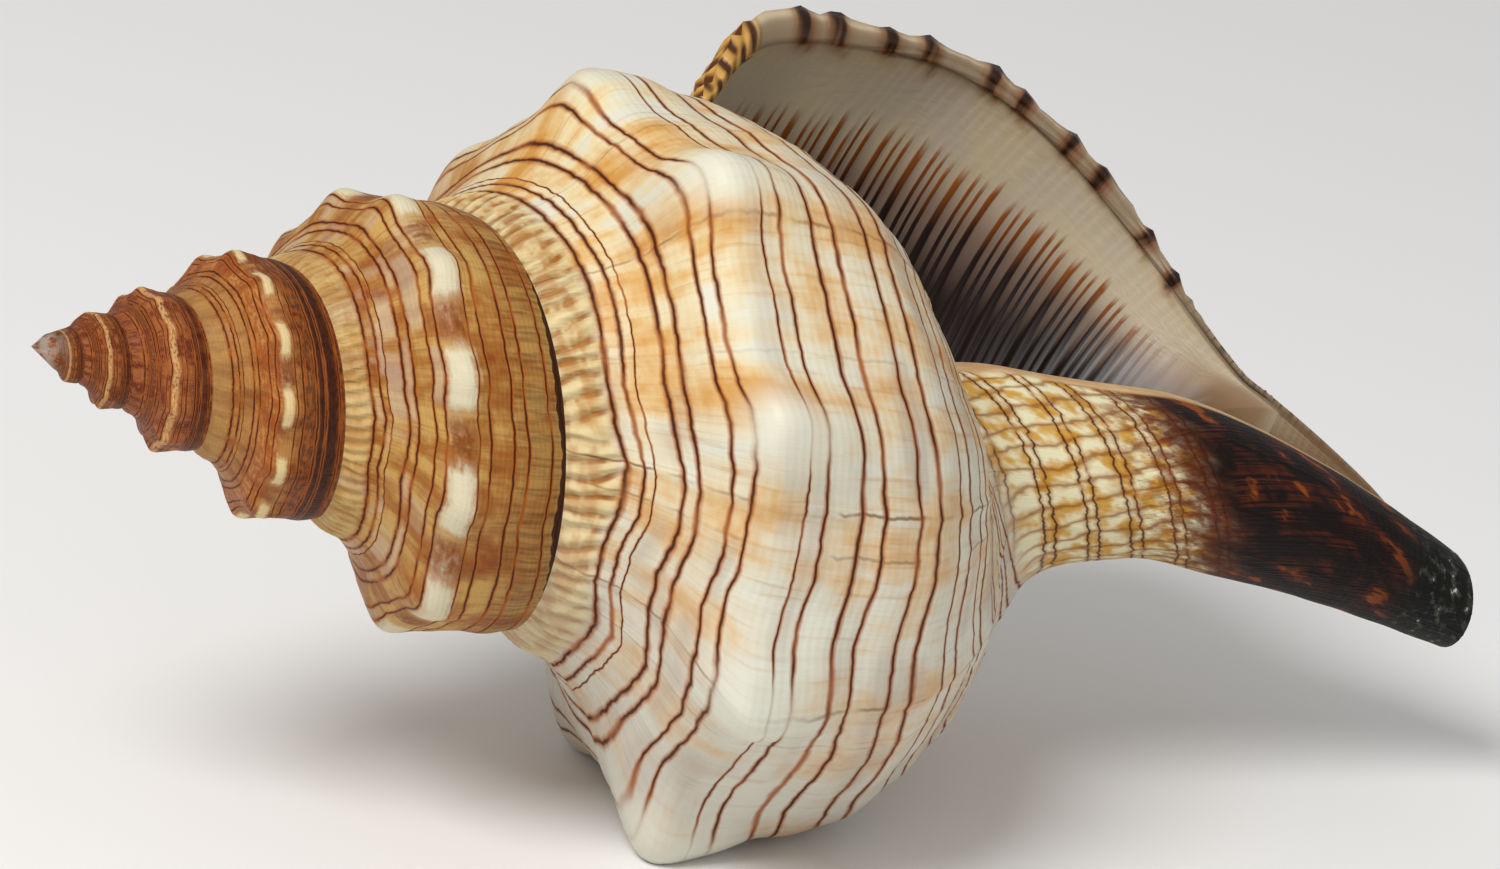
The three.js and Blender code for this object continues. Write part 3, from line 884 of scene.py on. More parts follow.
@dataclass(frozen=True)
class Markings:
    """Places of the markings that relief and finishes share, in turns and in millimetres of line."""

    lines: tuple[tuple[float, float], ...] = (
        (6.6, 1.0), (8.9, 0.8), (10.4, 0.35), (14.2, 1.0), (16.5, 1.0), (20.9, 0.75), (23.3, 0.8),
        (30.2, 0.5), (32.8, 0.75), (38.0, 1.0), (41.2, 0.85), (46.6, 0.9), (50.0, 1.0),
        (55.6, 0.7), (58.6, 0.7), (63.5, 0.7), (66.0, 0.7), (70.5, 0.7), (72.5, 0.7),
        (76.5, 0.8), (78.4, 0.8), (82.0, 0.8), (83.8, 0.8), (86.6, 0.8),
    )
    lip_spots: tuple[float, ...] = (30.0, 33.7, 39.5, 44.0, 51.2, 54.9, 61.1, 65.3, 72.7, 77.8)
    stops: tuple[tuple[float, float], ...] = (
        (-0.632, 1.0), (-0.612, 0.6), (-0.545, 0.8), (-0.515, 0.4), (-0.765, 0.7), (-0.845, 0.4),
        (-0.70, 0.3), (-0.40, 0.6), (-0.30, 0.5), (-0.21, 0.7), (-0.12, 0.5), (-0.06, 0.6),
    )
    kinks: tuple[tuple[float, float], ...] = (
        (-6.0, 0.0), (-1.95, 0.6), (-1.86, 1.1), (-1.80, 0.6), (-1.76, -0.3), (-1.70, -1.3),
        (-1.66, -1.6), (-1.63, -0.6), (-1.60, -1.0), (-1.57, -1.7), (-1.53, -0.3), (-1.47, 0.8),
        (-1.36, 0.6), (-1.25, -0.6), (-1.12, 0.8), (-1.0, -0.4), (-0.90, 0.0), (-0.76, 0.4),
        (-0.72, -0.2), (-0.685, -1.0), (-0.655, -0.3), (-0.63, 1.0), (-0.60, 0.4), (-0.57, -1.6),
        (-0.54, -1.6), (-0.505, 0.5), (-0.45, -0.3), (-0.40, 1.0), (-0.33, -0.6), (-0.25, 0.9),
        (-0.18, 0.1), (-0.10, 0.8), (-0.04, 0.0), (0.0, 0.4), (1.0, 0.0),
    )
    wrinkle_step: float = 0.0138
    wrinkle_slant: float = 0.0016
    wrinkle_end: float = 5.8
    wrinkle_unrest: float = 1.5
    kink_from: float = 8.0
    kink_fades: Span = (62.0, 20.0)
    lira_step: float = 1.32
    lira_start: float = 0.036
    lira_unevenness: tuple[Span, ...] = ((0.24, 1.31), (0.18, 0.47))
    cord_step: float = 8.1
    cord_first: float = 15.2
    canal_slope: float = 29.0
    canal_turn: float = -0.6
    braid_end: float = 25.0
    seed: float = 7.0

    def shifted(self, turn: np.ndarray, line: np.ndarray) -> np.ndarray:
        """Line coordinate that follows the kinks made where growth stopped."""
        turns, shifts = zip(*self.kinks)
        start, length = self.kink_fades
        share = smooth(line / self.kink_from) * (1 - smooth((line - start) / length))
        return line - np.interp(turn, turns, shifts) * share

    def lira(self, line: np.ndarray) -> np.ndarray:
        """Count of the ridges inside the lip, whole on each ridge, with uneven steps."""
        uneven = sum(share * np.sin(line * rate) for share, rate in self.lira_unevenness)
        return line / self.lira_step + uneven

    def canal_line(self, axis: np.ndarray, turn: np.ndarray) -> np.ndarray:
        """Place along the canal in millimetres, slanted as the colours there are."""
        return axis - self.canal_slope * (turn - self.canal_turn)

    def stop_edge(self, k: Sketch, turn: Wire, line: Wire, seed: Number) -> Wire:
        """Turn with the slight waver that the stops of growth have along the line."""
        return turn + k.noise(line * 0.35, 0.0, seed) * 0.006 - 0.003

    def wrinkles(self, k: Sketch, turn: Wire, line: Wire, seed: Number) -> Wire:
        """Wave of the folds below the suture."""
        unrest = k.noise(turn * 30.0, line * 0.1, seed) * self.wrinkle_unrest
        return ((turn + line * self.wrinkle_slant) / self.wrinkle_step + unrest).wave()

    def braid(self, turn: Wire, line: Wire) -> Wire:
        """Height of the crossing strands on the strip at the lip's shoulder."""
        return ((line + turn * 130.0) / 2.3).wave() * 0.5 + ((line - turn * 190.0) / 2.9).wave() * 0.5


@dataclass(frozen=True)
class Relief:
    """Heights of the fine relief in millimetres at the lip's scale, given to Geometry Nodes."""

    cords: float = 0.13
    wrinkles: float = 0.42
    growth: float = 0.16
    stops: float = 0.3
    lumps: float = 0.22
    lirae: float = 0.26
    lamellae: float = 1.2
    crenulation: float = 0.55
    ribs: float = 0.9
    seed: float = Markings.seed

    def tree(self, marks: Markings) -> bpy.types.NodeTree:
        """Geometry tree that moves the surface along its normals and gives it the finishes."""
        tree = bpy.data.node_groups.new("shell_relief", "GeometryNodeTree")
        face = tree.interface
        face.new_socket("Geometry", in_out="INPUT", socket_type="NodeSocketGeometry")
        names = [entry.name for entry in fields(self)]
        for name in names:
            face.new_socket(name.capitalize(), in_out="INPUT", socket_type="NodeSocketFloat")
        for name in ("Outside", "Inside"):
            face.new_socket(name, in_out="INPUT", socket_type="NodeSocketMaterial")
        face.new_socket("Geometry", in_out="OUTPUT", socket_type="NodeSocketGeometry")
        k = Sketch(tree)
        entry = k.node("NodeGroupInput")
        given = {name: Wire(k, entry.outputs[name.capitalize()]) for name in names}
        parts = (self.outside_height, self.inside_height, self.edge_height)
        heights = (part(k, marks, given) for part in parts)
        self.dress(k, entry, reduce(Wire.__add__, heights) * MM)
        return tree

    def outside_height(self, k: Sketch, marks: Markings, given: dict[str, Wire]) -> Wire:
        """Cords, folds, growth lines, stops of growth, lumps, ribs and the strip on the lip's shoulder."""
        turn, line, seed = k.attribute("turn"), k.attribute("line"), given["seed"]
        cords = ((line - marks.cord_first) / marks.cord_step).wave() * -2.0 + 1.0
        upper = line.rise(marks.wrinkle_end + 2, marks.wrinkle_end - 2)
        growth = k.noise(turn * 130.0, line * 0.07, seed) * 2.0 - 1.0
        edge = marks.stop_edge(k, turn, line, seed)
        stops = most_of(edge.near(at, 0.0, 0.006) * strength for at, strength in marks.stops)
        lumps = k.node("ShaderNodeTexNoise")
        k.feed(lumps.inputs["Vector"], k.node("GeometryNodeInputPosition").outputs[0])
        lumps.inputs["Scale"].default_value = 130.0
        strip = turn.rise(-0.030, -0.016) * line.rise(marks.braid_end + 2, marks.braid_end - 4)
        shoulder = line.rise(24.0, 38.0) * line.rise(84.0, 62.0)
        parts = {
            "cords": cords,
            "wrinkles": marks.wrinkles(k, turn, line, seed) * upper,
            "growth": growth,
            "stops": stops,
            "lumps": Wire(k, lumps.outputs[0]) * 2.0 - 1.0,
            "lamellae": marks.braid(turn, line) * strip,
            "ribs": k.attribute("rib") * shoulder,
        }
        height = reduce(Wire.__add__, (part * given[name] for name, part in parts.items()))
        return height * k.attribute("free") * k.attribute("skin") * k.attribute("size")

    def edge_height(self, k: Sketch, marks: Markings, given: dict[str, Wire]) -> Wire:
        """Teeth of the lip's edge: one at each dark spot, and small uneven ones between."""
        turn, line, seed = k.attribute("turn"), k.attribute("line"), given["seed"]
        notch = k.noise(line * 0.9, 0.0, seed, 2.0, 0.6).rise(0.45, 0.70)
        small = (line / 1.9 + k.noise(line * 0.3, 5.0, seed)).wave() * notch * 0.5
        teeth = most_of([small, *(line.near(at, 0.2, 1.6) for at in marks.lip_spots)])
        along = line.rise(22.0, 28.0) * line.rise(116.0, 84.0)
        rim = k.attribute("rim") * k.attribute("rim_share").rise(1.0, 0.3)
        outer = k.attribute("skin") * turn.rise(-0.010, -0.001)
        return teeth * along * given["crenulation"] * rim.most(outer)

    def inside_height(self, k: Sketch, marks: Markings, given: dict[str, Wire]) -> Wire:
        """Ridges inside the lip."""
        turn, line = k.attribute("turn"), k.attribute("line")
        depth = turn.rise(-marks.lira_start + 0.008, -marks.lira_start - 0.012)
        along = line.rise(88.0, 74.0) * line.rise(26.0, 34.0)
        ridges = k.attribute("lira").wave() ** 2.0 * depth * along
        return ridges * given["lirae"] * k.attribute("wall") * k.attribute("size")

    def dress(self, k: Sketch, entry: bpy.types.Node, height: Wire) -> None:
        """Nodes that move the surface by a height in metres and set its two materials."""
        link = k.tree.links.new
        scaled = k.node("ShaderNodeVectorMath", operation="SCALE")
        k.feed(scaled.inputs[0], k.node("GeometryNodeInputNormal").outputs[0])
        k.feed(scaled.inputs["Scale"], height)
        moved = k.node("GeometryNodeSetPosition")
        link(entry.outputs["Geometry"], moved.inputs["Geometry"])
        link(scaled.outputs[0], moved.inputs["Offset"])
        realized = k.node("GeometryNodeRealizeInstances")
        link(moved.outputs[0], realized.inputs[0])
        dressed = k.node("GeometryNodeSetMaterial")
        link(realized.outputs[0], dressed.inputs["Geometry"])
        link(entry.outputs["Outside"], dressed.inputs["Material"])
        inner = k.node("GeometryNodeInputNamedAttribute", data_type="BOOLEAN")
        inner.inputs["Name"].default_value = "inner"
        lined = k.node("GeometryNodeSetMaterial")
        link(dressed.outputs[0], lined.inputs["Geometry"])
        link(inner.outputs["Attribute"], lined.inputs["Selection"])
        link(entry.outputs["Inside"], lined.inputs["Material"])
        link(lined.outputs[0], k.node("NodeGroupOutput").inputs[0])

    def apply(self, obj: bpy.types.Object, marks: Markings, outside: bpy.types.Material,
              inside: bpy.types.Material) -> None:
        """Runs the tree on an object and keeps its result as a plain mesh.

        Args:
            obj: object with the plain surface.
            marks: places of the markings.
            outside: finish of the outside.
            inside: finish of the inside.
        """
        tree = self.tree(marks)
        modifier = obj.modifiers.new("relief", "NODES")
        modifier.node_group = tree
        values = {entry.name.capitalize(): getattr(self, entry.name) for entry in fields(self)}
        values |= {"Outside": outside, "Inside": inside}
        for item in tree.interface.items_tree:
            if item.in_out == "INPUT" and item.name in values:
                modifier[item.identifier] = values[item.name]
        bpy.context.view_layer.update()
        graph = bpy.context.evaluated_depsgraph_get()
        shaped = obj.evaluated_get(graph)
        plain = bpy.data.meshes.new_from_object(shaped, preserve_all_data_layers=True, depsgraph=graph)
        obj.modifiers.remove(modifier)
        obj.data = plain


@dataclass(frozen=True)
class Finish:
    """What the two finishes of the shell share."""

    name: str
    coat: float
    coat_roughness: float
    gloss: float

    def start(self) -> tuple[bpy.types.Material, Sketch, bpy.types.Node]:
        """New material with its sketch and its shader."""
        material = bpy.data.materials.new(self.name)
        material.use_nodes = True
        sketch = Sketch(material.node_tree)
        shader = next(n for n in material.node_tree.nodes if n.type == "BSDF_PRINCIPLED")
        shader.inputs["Coat Weight"].default_value = self.coat
        shader.inputs["Specular IOR Level"].default_value = self.gloss
        shader.inputs["Coat Roughness"].default_value = self.coat_roughness
        return material, sketch, shader

    def bump(self, sketch: Sketch, shader: bpy.types.Node, height: Wire, distance_mm: float) -> None:
        """Fine relief from a height between 0 and 1."""
        node = sketch.node("ShaderNodeBump")
        node.inputs["Distance"].default_value = distance_mm * MM
        sketch.feed(node.inputs["Height"], height)
        sketch.feed(shader.inputs["Normal"], node.outputs[0])


@dataclass(frozen=True)
class Patterns:
    """Uneven patterns of the outside: blocks between the dark lines, streaks of growth and fine mottling."""

    band: Wire
    block: Wire
    streak: Wire
    mottle: Wire
    jag: Wire

    @classmethod
    def drawn(cls, k: Sketch, band: Wire) -> "Patterns":
        """Patterns for a count of the dark lines, which sets one band of blocks off from the next."""
        turn, line = k.attribute("grow_turn"), k.attribute("grow_line")
        squares = k.noise(turn * 34.0, band * 3.7, 1.0, 2.0, 0.6)
        wide = k.noise(turn * 27.0, line * 0.05, 2.0, 3.0, 0.6)
        streak = k.noise(turn * 300.0, line * 0.08, 4.0, 3.0)
        mottle = k.noise(turn * 90.0, line * 0.7, 27.0, 3.0, 0.6)
        block = squares * 0.35 + wide * 0.65 + (streak - 0.5) * 0.10 + (mottle - 0.5) * 0.14
        return cls(band, block, streak, mottle, (mottle - 0.5) * 0.16 + (block - 0.5) * 0.5)


@dataclass(frozen=True)
class LastWhorl:
    """Ground of the last whorl: blocks of cream and amber, with painted shade in lilac patches and in a grey
    that deepens towards the lip.
    """

    ivory: str = "d5d2c4"
    straw: str = "e2cfa2"
    white: str = "dad9c8"
    honey: str = "d8aa64"
    amber: str = "c88a34"
    ochre: str = "a4601a"
    # lilac and lip_grey are painted shade on the part of the last whorl near the lip
    lilac: str = "b0a294"
    lip_grey: str = "bab5aa"
    warm_turns: Span = (-0.42, -0.84)
    cool_turns: Span = (-0.95, -0.6)
    grey_turns: Span = (-0.62, -0.38)
    shoulder_lines: Span = (18.0, 44.0)

    def paint(self, k: Sketch, on: Patterns) -> Paint:
        """Coats of this ground."""
        turn, line = k.attribute("grow_turn"), k.attribute("grow_line")
        warm = turn.rise(*self.warm_turns) * (1.0 - line.rise(*self.shoulder_lines) * 0.5)
        paint = Paint(k, warm, self.ivory, self.straw)
        paint.coat(on.block.rise(0.45, 0.56) * (warm * 0.45 + 0.40), self.honey)
        paint.coat(on.block.rise(0.53, 0.64) * (warm * 0.40 + 0.42), self.amber)
        paint.coat(on.block.rise(0.46, 0.38) * 0.8, self.white)
        # lilac patches of painted shade, more of them towards the lip
        shade_patches = k.noise(turn * 12.0, line * 0.12, 20.0).rise(0.48, 0.66) * turn.rise(*self.cool_turns)
        paint.coat(shade_patches * 0.55, self.lilac)
        paint.coat(on.streak.rise(0.54, 0.74) * 0.22, self.ochre)
        # painted shade: grey laid over the part of the whorl near the lip
        paint.coat(turn.rise(*self.grey_turns) * 0.38, self.lip_grey)
        return paint


@dataclass(frozen=True)
class SecondWhorl:
    """Ground of the whorl before the last: tan, with a belt of white patches on its knobs."""

    turns: Span = (-0.9, -1.1)
    tan: str = "c09854"
    brown: str = "9c6228"
    russet: str = "8a4616"
    streak: str = "8a5424"
    milk: str = "c4b096"
    foot_tan: str = "8c5c28"
    foot_brown: str = "4a2a12"
    patch_white: str = "d6ceb0"
    patch_brown: str = "763508"
    milk_lines: Span = (31.0, 22.0)
    foot_lines: Span = (35.0, 43.0)
    belt_line: float = 26.8
    belt_width: Span = (1.4, 4.4)

    def paint(self, k: Sketch, on: Patterns) -> Paint:
        """Coats of this ground."""
        turn, line, bulge = k.attribute("grow_turn"), k.attribute("grow_line"), k.attribute("bulge")
        paint = Paint(k, on.block.rise(0.40, 0.58), self.tan, self.brown)
        paint.coat(on.block.rise(0.56, 0.66), self.russet)
        paint.coat(on.streak.rise(0.50, 0.70) * 0.35, self.streak)
        milky = k.noise(turn * 18.0, on.band * 2.9, 33.0, 2.0).rise(0.50, 0.62) * line.rise(*self.milk_lines)
        paint.coat(milky * 0.5, self.milk)
        foot = k.blend(on.streak.rise(0.4, 0.6), self.foot_tan, self.foot_brown)
        paint.coat(line.rise(*self.foot_lines) * 0.5, foot)
        belt = (line + (on.mottle - 0.5) * 4.0).near(self.belt_line, *self.belt_width)
        paint.coat(belt * (bulge + on.jag).rise(0.03, 0.20) * 0.9, self.patch_white)
        between = (bulge + on.jag * 0.6).rise(0.045, -0.01) * on.block.rise(0.40, 0.52)
        paint.coat(belt * between * 0.9, self.patch_brown)
        return paint


@dataclass(frozen=True)
class ThirdWhorl:
    """Ground of the third whorl: browner, with a dashed pale belt and a dark hem."""

    turns: Span = (-1.95, -2.35)
    fawn: str = "b07c42"
    chestnut: str = "7c3e18"
    shelf: str = "9c7038"
    sienna: str = "a04c10"
    skirt: str = "8a4212"
    skirt_dark: str = "42190c"
    belt: str = "dcc592"
    hem: str = "2c100a"
    shelf_lines: Span = (19.0, 11.0)
    sienna_line: float = 21.0
    skirt_lines: Span = (29.0, 34.0)
    belt_line: float = 27.0
    hem_line: float = 42.0

    def paint(self, k: Sketch, on: Patterns) -> Paint:
        """Coats of this ground."""
        line, mottle = k.attribute("grow_line"), on.mottle
        paint = Paint(k, on.block.rise(0.40, 0.60), self.fawn, self.chestnut)
        paint.coat(line.rise(*self.shelf_lines) * (mottle.rise(0.35, 0.60) * 0.4 + 0.1), self.shelf)
        paint.coat(line.near(self.sienna_line, 2.5, 6.0) * mottle.rise(0.42, 0.56) * 0.75, self.sienna)
        skirt = k.blend(mottle.rise(0.4, 0.6), self.skirt, self.skirt_dark)
        paint.coat(line.rise(*self.skirt_lines) * 0.8, skirt)
        dashes = (k.attribute("bulge") + on.jag).rise(0.02, 0.20)
        belt = (line + (mottle - 0.5) * 2.0).near(self.belt_line, 0.9, 2.4)
        paint.coat(belt * dashes * 0.9, self.belt)
        paint.coat(line.near(self.hem_line, 2.0, 6.0) * 0.85, self.hem)
        return paint


@dataclass(frozen=True)
class OldWhorls:
    """Ground of the oldest whorls: maroon, with a thin pale belt."""

    turns: Span = (-2.8, -3.4)
    brick: str = "a05c30"
    maroon: str = "6a2c16"
    copper: str = "b8793e"
    shade: str = "35120a"
    belt: str = "d0a468"
    hem: str = "3a1409"
    shade_line: float = 13.0
    belt_line: float = 26.0
    hem_line: float = 42.0

    def paint(self, k: Sketch, on: Patterns) -> Paint:
        """Coats of this ground."""
        line = k.attribute("grow_line")
        paint = Paint(k, on.block.rise(0.42, 0.58), self.brick, self.maroon)
        paint.coat(on.mottle.rise(0.55, 0.68) * 0.6, self.copper)
        paint.coat(line.near(self.shade_line, 3.0, 6.0) * on.block.rise(0.56, 0.44) * 0.6, self.shade)
        paint.coat(line.near(self.belt_line, 1.0, 3.0) * on.mottle.rise(0.35, 0.55) * 0.85, self.belt)
        paint.coat(line.near(self.hem_line, 2.0, 7.0) * 0.75, self.hem)
        return paint


@dataclass(frozen=True)
class Folds:
    """Colour of the folded strip below the suture: pale crests and amber hollows, greyed towards the lip as
    painted shade.
    """

    crest: str = "dfca96"
    hollow: str = "b0722a"
    stain: str = "8f4f10"
    foot: str = "b0701e"
    grey: str = "c0b294"
    old: str = "d0ac68"
    foot_line: float = 2.2
    grey_turns: Span = (-0.62, -0.46)

    def lay(self, k: Sketch, paint: Paint, marks: Markings, wrinkle: Wire) -> None:
        """Lays the strip over the ground, more weakly on the older whorls."""
        turn, line, plain = k.attribute("grow_turn"), k.attribute("grow_line"), k.attribute("plain_line")
        upper = line.rise(marks.wrinkle_end + 1.0, marks.wrinkle_end - 1.2)
        spotted = k.noise(turn * 46.0, line * 0.35, 8.0).rise(0.38, 0.60)
        creased = Paint(k, wrinkle.rise(0.50, 0.0) * (spotted * 0.7 + 0.3), self.crest, self.hollow)
        creased.coat(wrinkle.rise(0.28, 0.0) * spotted, self.stain)
        creased.coat(plain.near(self.foot_line, 1.2, 3.0) * spotted * 0.65, self.foot)
        # painted shade: grey towards the lip, as on the ground beside the strip
        creased.coat(turn.rise(*self.grey_turns) * 0.5, self.grey)
        newer = turn.rise(-2.2, -1.7) * 0.35 + turn.rise(-1.2, -0.9) * 0.55
        paint.coat(upper * newer, creased.colour)
        paint.coat(upper * turn.rise(-3.4, -2.2) * turn.rise(-0.98, -1.2) * 0.25, self.old)


@dataclass(frozen=True)
class Canal:
    """Colour of the canal: cream and gold under a net of rust, then dark, worn grey at its end."""

    cream: str = "ebe3bc"
    gold: str = "d2a24a"
    bar: str = "b87a22"
    bar_dark: str = "7a4412"
    halo: str = "b06c1a"
    thread: str = "3a1606"
    rust: str = "7d3a10"
    chestnut: str = "5a220b"
    dark: str = "120503"
    glow: str = "551f08"
    ember: str = "94480f"
    end: str = "0e0e0b"
    worn_grey: str = "6c6f62"
    worn_white: str = "d6d8cc"
    root_lines: Span = (86.0, 90.0)
    thread_step: float = 4.9
    thread_phases: Span = (0.37, 0.62)
    ring_slant: float = 0.0062
    rust_lines: Span = (106.0, 118.0)
    chestnut_lines: Span = (114.5, 119.0)
    dark_lines: Span = (117.0, 123.0)
    end_mm: Span = (138.0, 146.0)
    worn_mm: Span = (134.0, 146.0)
    ringed_mm: Span = (104.0, 114.0)

    def growth(self, k: Sketch) -> Wire:
        """Turn of growth, which slants along the canal."""
        return k.attribute("grow_turn") + k.attribute("axis_mm") * self.ring_slant

    def rings(self, k: Sketch) -> Wire:
        """Fine rings of growth across the canal."""
        return k.noise(self.growth(k) * 200.0, k.attribute("canal_line") * 0.05, 26.0, 2.0)

    def net(self, k: Sketch) -> Paint:
        """Coats of the light part: threads in pairs, crossed by bars."""
        turn, canal = k.attribute("grow_turn"), k.attribute("canal_line")
        shaken = canal + (k.noise(turn * 60.0, canal * 0.3, 12.0) - 0.5) * 1.2
        phase = (shaken / self.thread_step).math("FRACT")
        pair = most_of(phase.near(at, 0.01, 0.045) for at in self.thread_phases)
        halo = most_of(phase.near(at, 0.02, 0.14) for at in self.thread_phases)
        unrest = k.noise(canal * 0.16, turn * 14.0, 13.0, 3.0) * 1.6
        bars = (self.growth(k) * 24.0 + unrest).wave()
        paint = Paint(k, k.noise(turn * 30.0, canal * 0.35, 14.0).rise(0.42, 0.62), self.cream, self.gold)
        paint.coat(bars.rise(0.40, 1.0) * 0.45, self.bar)
        paint.coat(bars.rise(0.88, 1.0) * 0.55, self.bar_dark)
        paint.coat(halo * 0.5, self.halo)
        broken = k.noise(turn * 26.0, canal * 0.4, 15.0).rise(0.28, 0.44)
        paint.coat(pair * broken * 0.9, self.thread)
        lattice = k.noise(turn * 60.0, canal * 0.5, 16.0, 3.0, 0.6).rise(0.60, 0.40)
        paint.coat(canal.rise(*self.rust_lines) * lattice * 0.85, self.rust)
        return paint

    def night(self, k: Sketch) -> Paint:
        """Coats of the dark part and the worn end."""
        turn, canal, axis = k.attribute("grow_turn"), k.attribute("canal_line"), k.attribute("axis_mm")
        glow = k.noise(turn * 16.0, canal * 0.22, 18.0, 3.0)
        paint = Paint(k, glow.rise(0.44, 0.60) * self.rings(k).rise(0.40, 0.60) * 0.8, self.dark, self.glow)
        paint.coat(glow.rise(0.60, 0.68) * 0.85, self.ember)
        paint.coat(axis.rise(*self.end_mm), self.end)
        worn = k.noise(turn * 26.0, axis * 0.9, 19.0, 4.0, 0.65) * axis.rise(*self.worn_mm)
        paint.coat(worn.rise(0.50, 0.64) * 0.35, self.worn_grey)
        paint.coat(worn.rise(0.64, 0.70) * 0.85, self.worn_white)
        return paint

    def lay(self, k: Sketch, paint: Paint) -> None:
        """Lays the canal's colours over the ground, with a ragged edge between light and dark."""
        turn, line, canal = k.attribute("grow_turn"), k.attribute("grow_line"), k.attribute("canal_line")
        whole = self.net(k)
        edge = k.noise(turn * 30.0, canal * 0.25, 17.0, 4.0, 0.6) - 0.5
        whole.coat((canal + edge * 9.0).rise(*self.chestnut_lines) * 0.85, self.chestnut)
        whole.coat((canal + edge * 7.0).rise(*self.dark_lines), self.night(k).colour)
        paint.coat(line.rise(*self.root_lines), whole.colour)


@dataclass(frozen=True)
class OutsideFinish(Finish):
    """Ivory and tan outside with thin dark spiral lines, darker on the old whorls and on the canal."""

    name: str = "shell_outside"
    coat: float = 0.03
    coat_roughness: float = 0.2
    gloss: float = 0.15
    roughness: float = 0.36
    last: LastWhorl = LastWhorl()
    older: tuple[SecondWhorl | ThirdWhorl | OldWhorls, ...] = (SecondWhorl(), ThirdWhorl(), OldWhorls())
    folds: Folds = Folds()
    canal: Canal = Canal()
    stop: str = "6e4018"
    rust: str = "a8581a"
    line_dark: str = "2c0f04"
    strand_dark: str = "5e3110"
    strand_gold: str = "cf9c50"
    chalk: str = "b5a897"
    callus_tan: str = "c79e70"
    callus: str = "dcb888"
    knob_turns: Span = (-1.1, -0.9)
    line_halo: Span = (0.90, 0.20)
    line_core: Span = (0.36, 0.08)
    seam_lines: Span = (48.95, 49.2)
    seam_turns: Span = (-0.999, -1.001)
    strip_turns: Span = (-0.018, -0.012)
    apex_mm: Span = (5.2, 2.4)

    def make(self, marks: Markings) -> bpy.types.Material:
        """Builds the material."""
        material, k, shader = self.start()
        turn, line = k.attribute("grow_turn"), k.attribute("grow_line")
        band, gap = self.spirals(k, marks)
        patterns = Patterns.drawn(k, band)
        paint = self.last.paint(k, patterns)
        for ground in self.older:
            paint.coat(turn.rise(*ground.turns), ground.paint(k, patterns).colour)
        wrinkle = marks.wrinkles(k, turn, k.attribute("plain_line"), marks.seed)
        self.folds.lay(k, paint, marks, wrinkle)
        edge = marks.stop_edge(k, turn, line, marks.seed)
        stain = most_of(edge.near(at, 0.0002, 0.0014) * strength for at, strength in marks.stops)
        paint.coat(stain * k.noise(line * 0.16, turn * 4.0, 9.0).rise(0.34, 0.60) * 0.75, self.stop)
        bare = k.attribute("knob").rise(0.35, 0.95) * turn.rise(*self.knob_turns)
        paint.coat(bare * 0.75, self.last.white)
        halo, core = self.lay_lines(k, paint, gap)
        self.lay_seam(k, paint, marks)
        woven = self.lay_braid(k, paint, marks, patterns.mottle)
        self.canal.lay(k, paint)
        self.lay_ends(k, paint)
        k.feed(shader.inputs["Base Color"], paint.colour)
        rough = self.roughness + k.noise(turn * 60.0, line * 0.8, 6.0) * 0.26 - bare * 0.10 + halo * 0.06
        k.feed(shader.inputs["Roughness"], rough.most(0.12).least(0.8))
        striae = k.noise(turn * 420.0, line * 0.1, 11.0, 3.0)
        threads = (line * 0.9).wave() * 0.3
        folds = wrinkle * line.rise(marks.wrinkle_end + 2.5, marks.wrinkle_end - 1.5) * turn.rise(-2.4, -0.9)
        height = striae * 0.3 + threads * 0.2 - core * 0.25 + folds * 1.3 + woven * 1.5
        ringed = k.attribute("axis_mm").rise(*self.canal.ringed_mm)
        self.bump(k, shader, height + self.canal.rings(k) * ringed * 0.8, 0.3)
        return material

    def spirals(self, k: Sketch, marks: Markings) -> tuple[Wire, Wire]:
        """Count of the dark lines above a place, and the distance from the nearest one."""
        turn, line = k.attribute("grow_turn"), k.attribute("grow_line")
        fine = line + (k.noise(turn * 90.0, line * 0.25, 3.0) - 0.5) * 0.8
        band = reduce(Wire.__add__, (fine.math("GREATER_THAN", at) for at, _ in marks.lines))
        gaps = ((fine - at).math("ABSOLUTE") / strength for at, strength in marks.lines)
        return band, reduce(Wire.least, gaps)

    def lay_lines(self, k: Sketch, paint: Paint, gap: Wire) -> tuple[Wire, Wire]:
        """Lays the dark spiral lines.

        Args:
            k: the material's sketch.
            paint: coats so far.
            gap: distance from the nearest line.

        Returns:
            Shares of the lines' rusty border and of their dark core.
        """
        turn, line, knob = k.attribute("grow_turn"), k.attribute("grow_line"), k.attribute("knob")
        width = k.noise(turn * 40.0, line * 0.5, 5.0) * 1.5 + 0.55
        gap = gap * k.attribute("size") ** 0.35 * width
        shown = (1.0 - knob.rise(0.40, 0.85) * turn.rise(-2.2, -1.6) * 0.85) * line.rise(5.0, 6.2)
        faded = k.noise(turn * 22.0, line * 0.3, 10.0).rise(0.34, 0.52) * 0.75 + 0.25
        halo = gap.rise(*self.line_halo) * shown
        core = gap.rise(*self.line_core) * shown * faded
        paint.coat(halo * 0.85, self.rust)
        paint.coat(core * 0.92, self.line_dark)
        return halo, core

    def lay_seam(self, k: Sketch, paint: Paint, marks: Markings) -> None:
        """Lays the dark seam where the next whorl's folds meet the whorl below."""
        turn, line = k.attribute("grow_turn"), k.attribute("grow_line")
        next_wrinkle = ((turn + 1.0) / marks.wrinkle_step).wave()
        seam = (line + next_wrinkle * 0.3).rise(*self.seam_lines) * turn.rise(*self.seam_turns)
        paint.coat(seam * 0.95, self.line_dark)

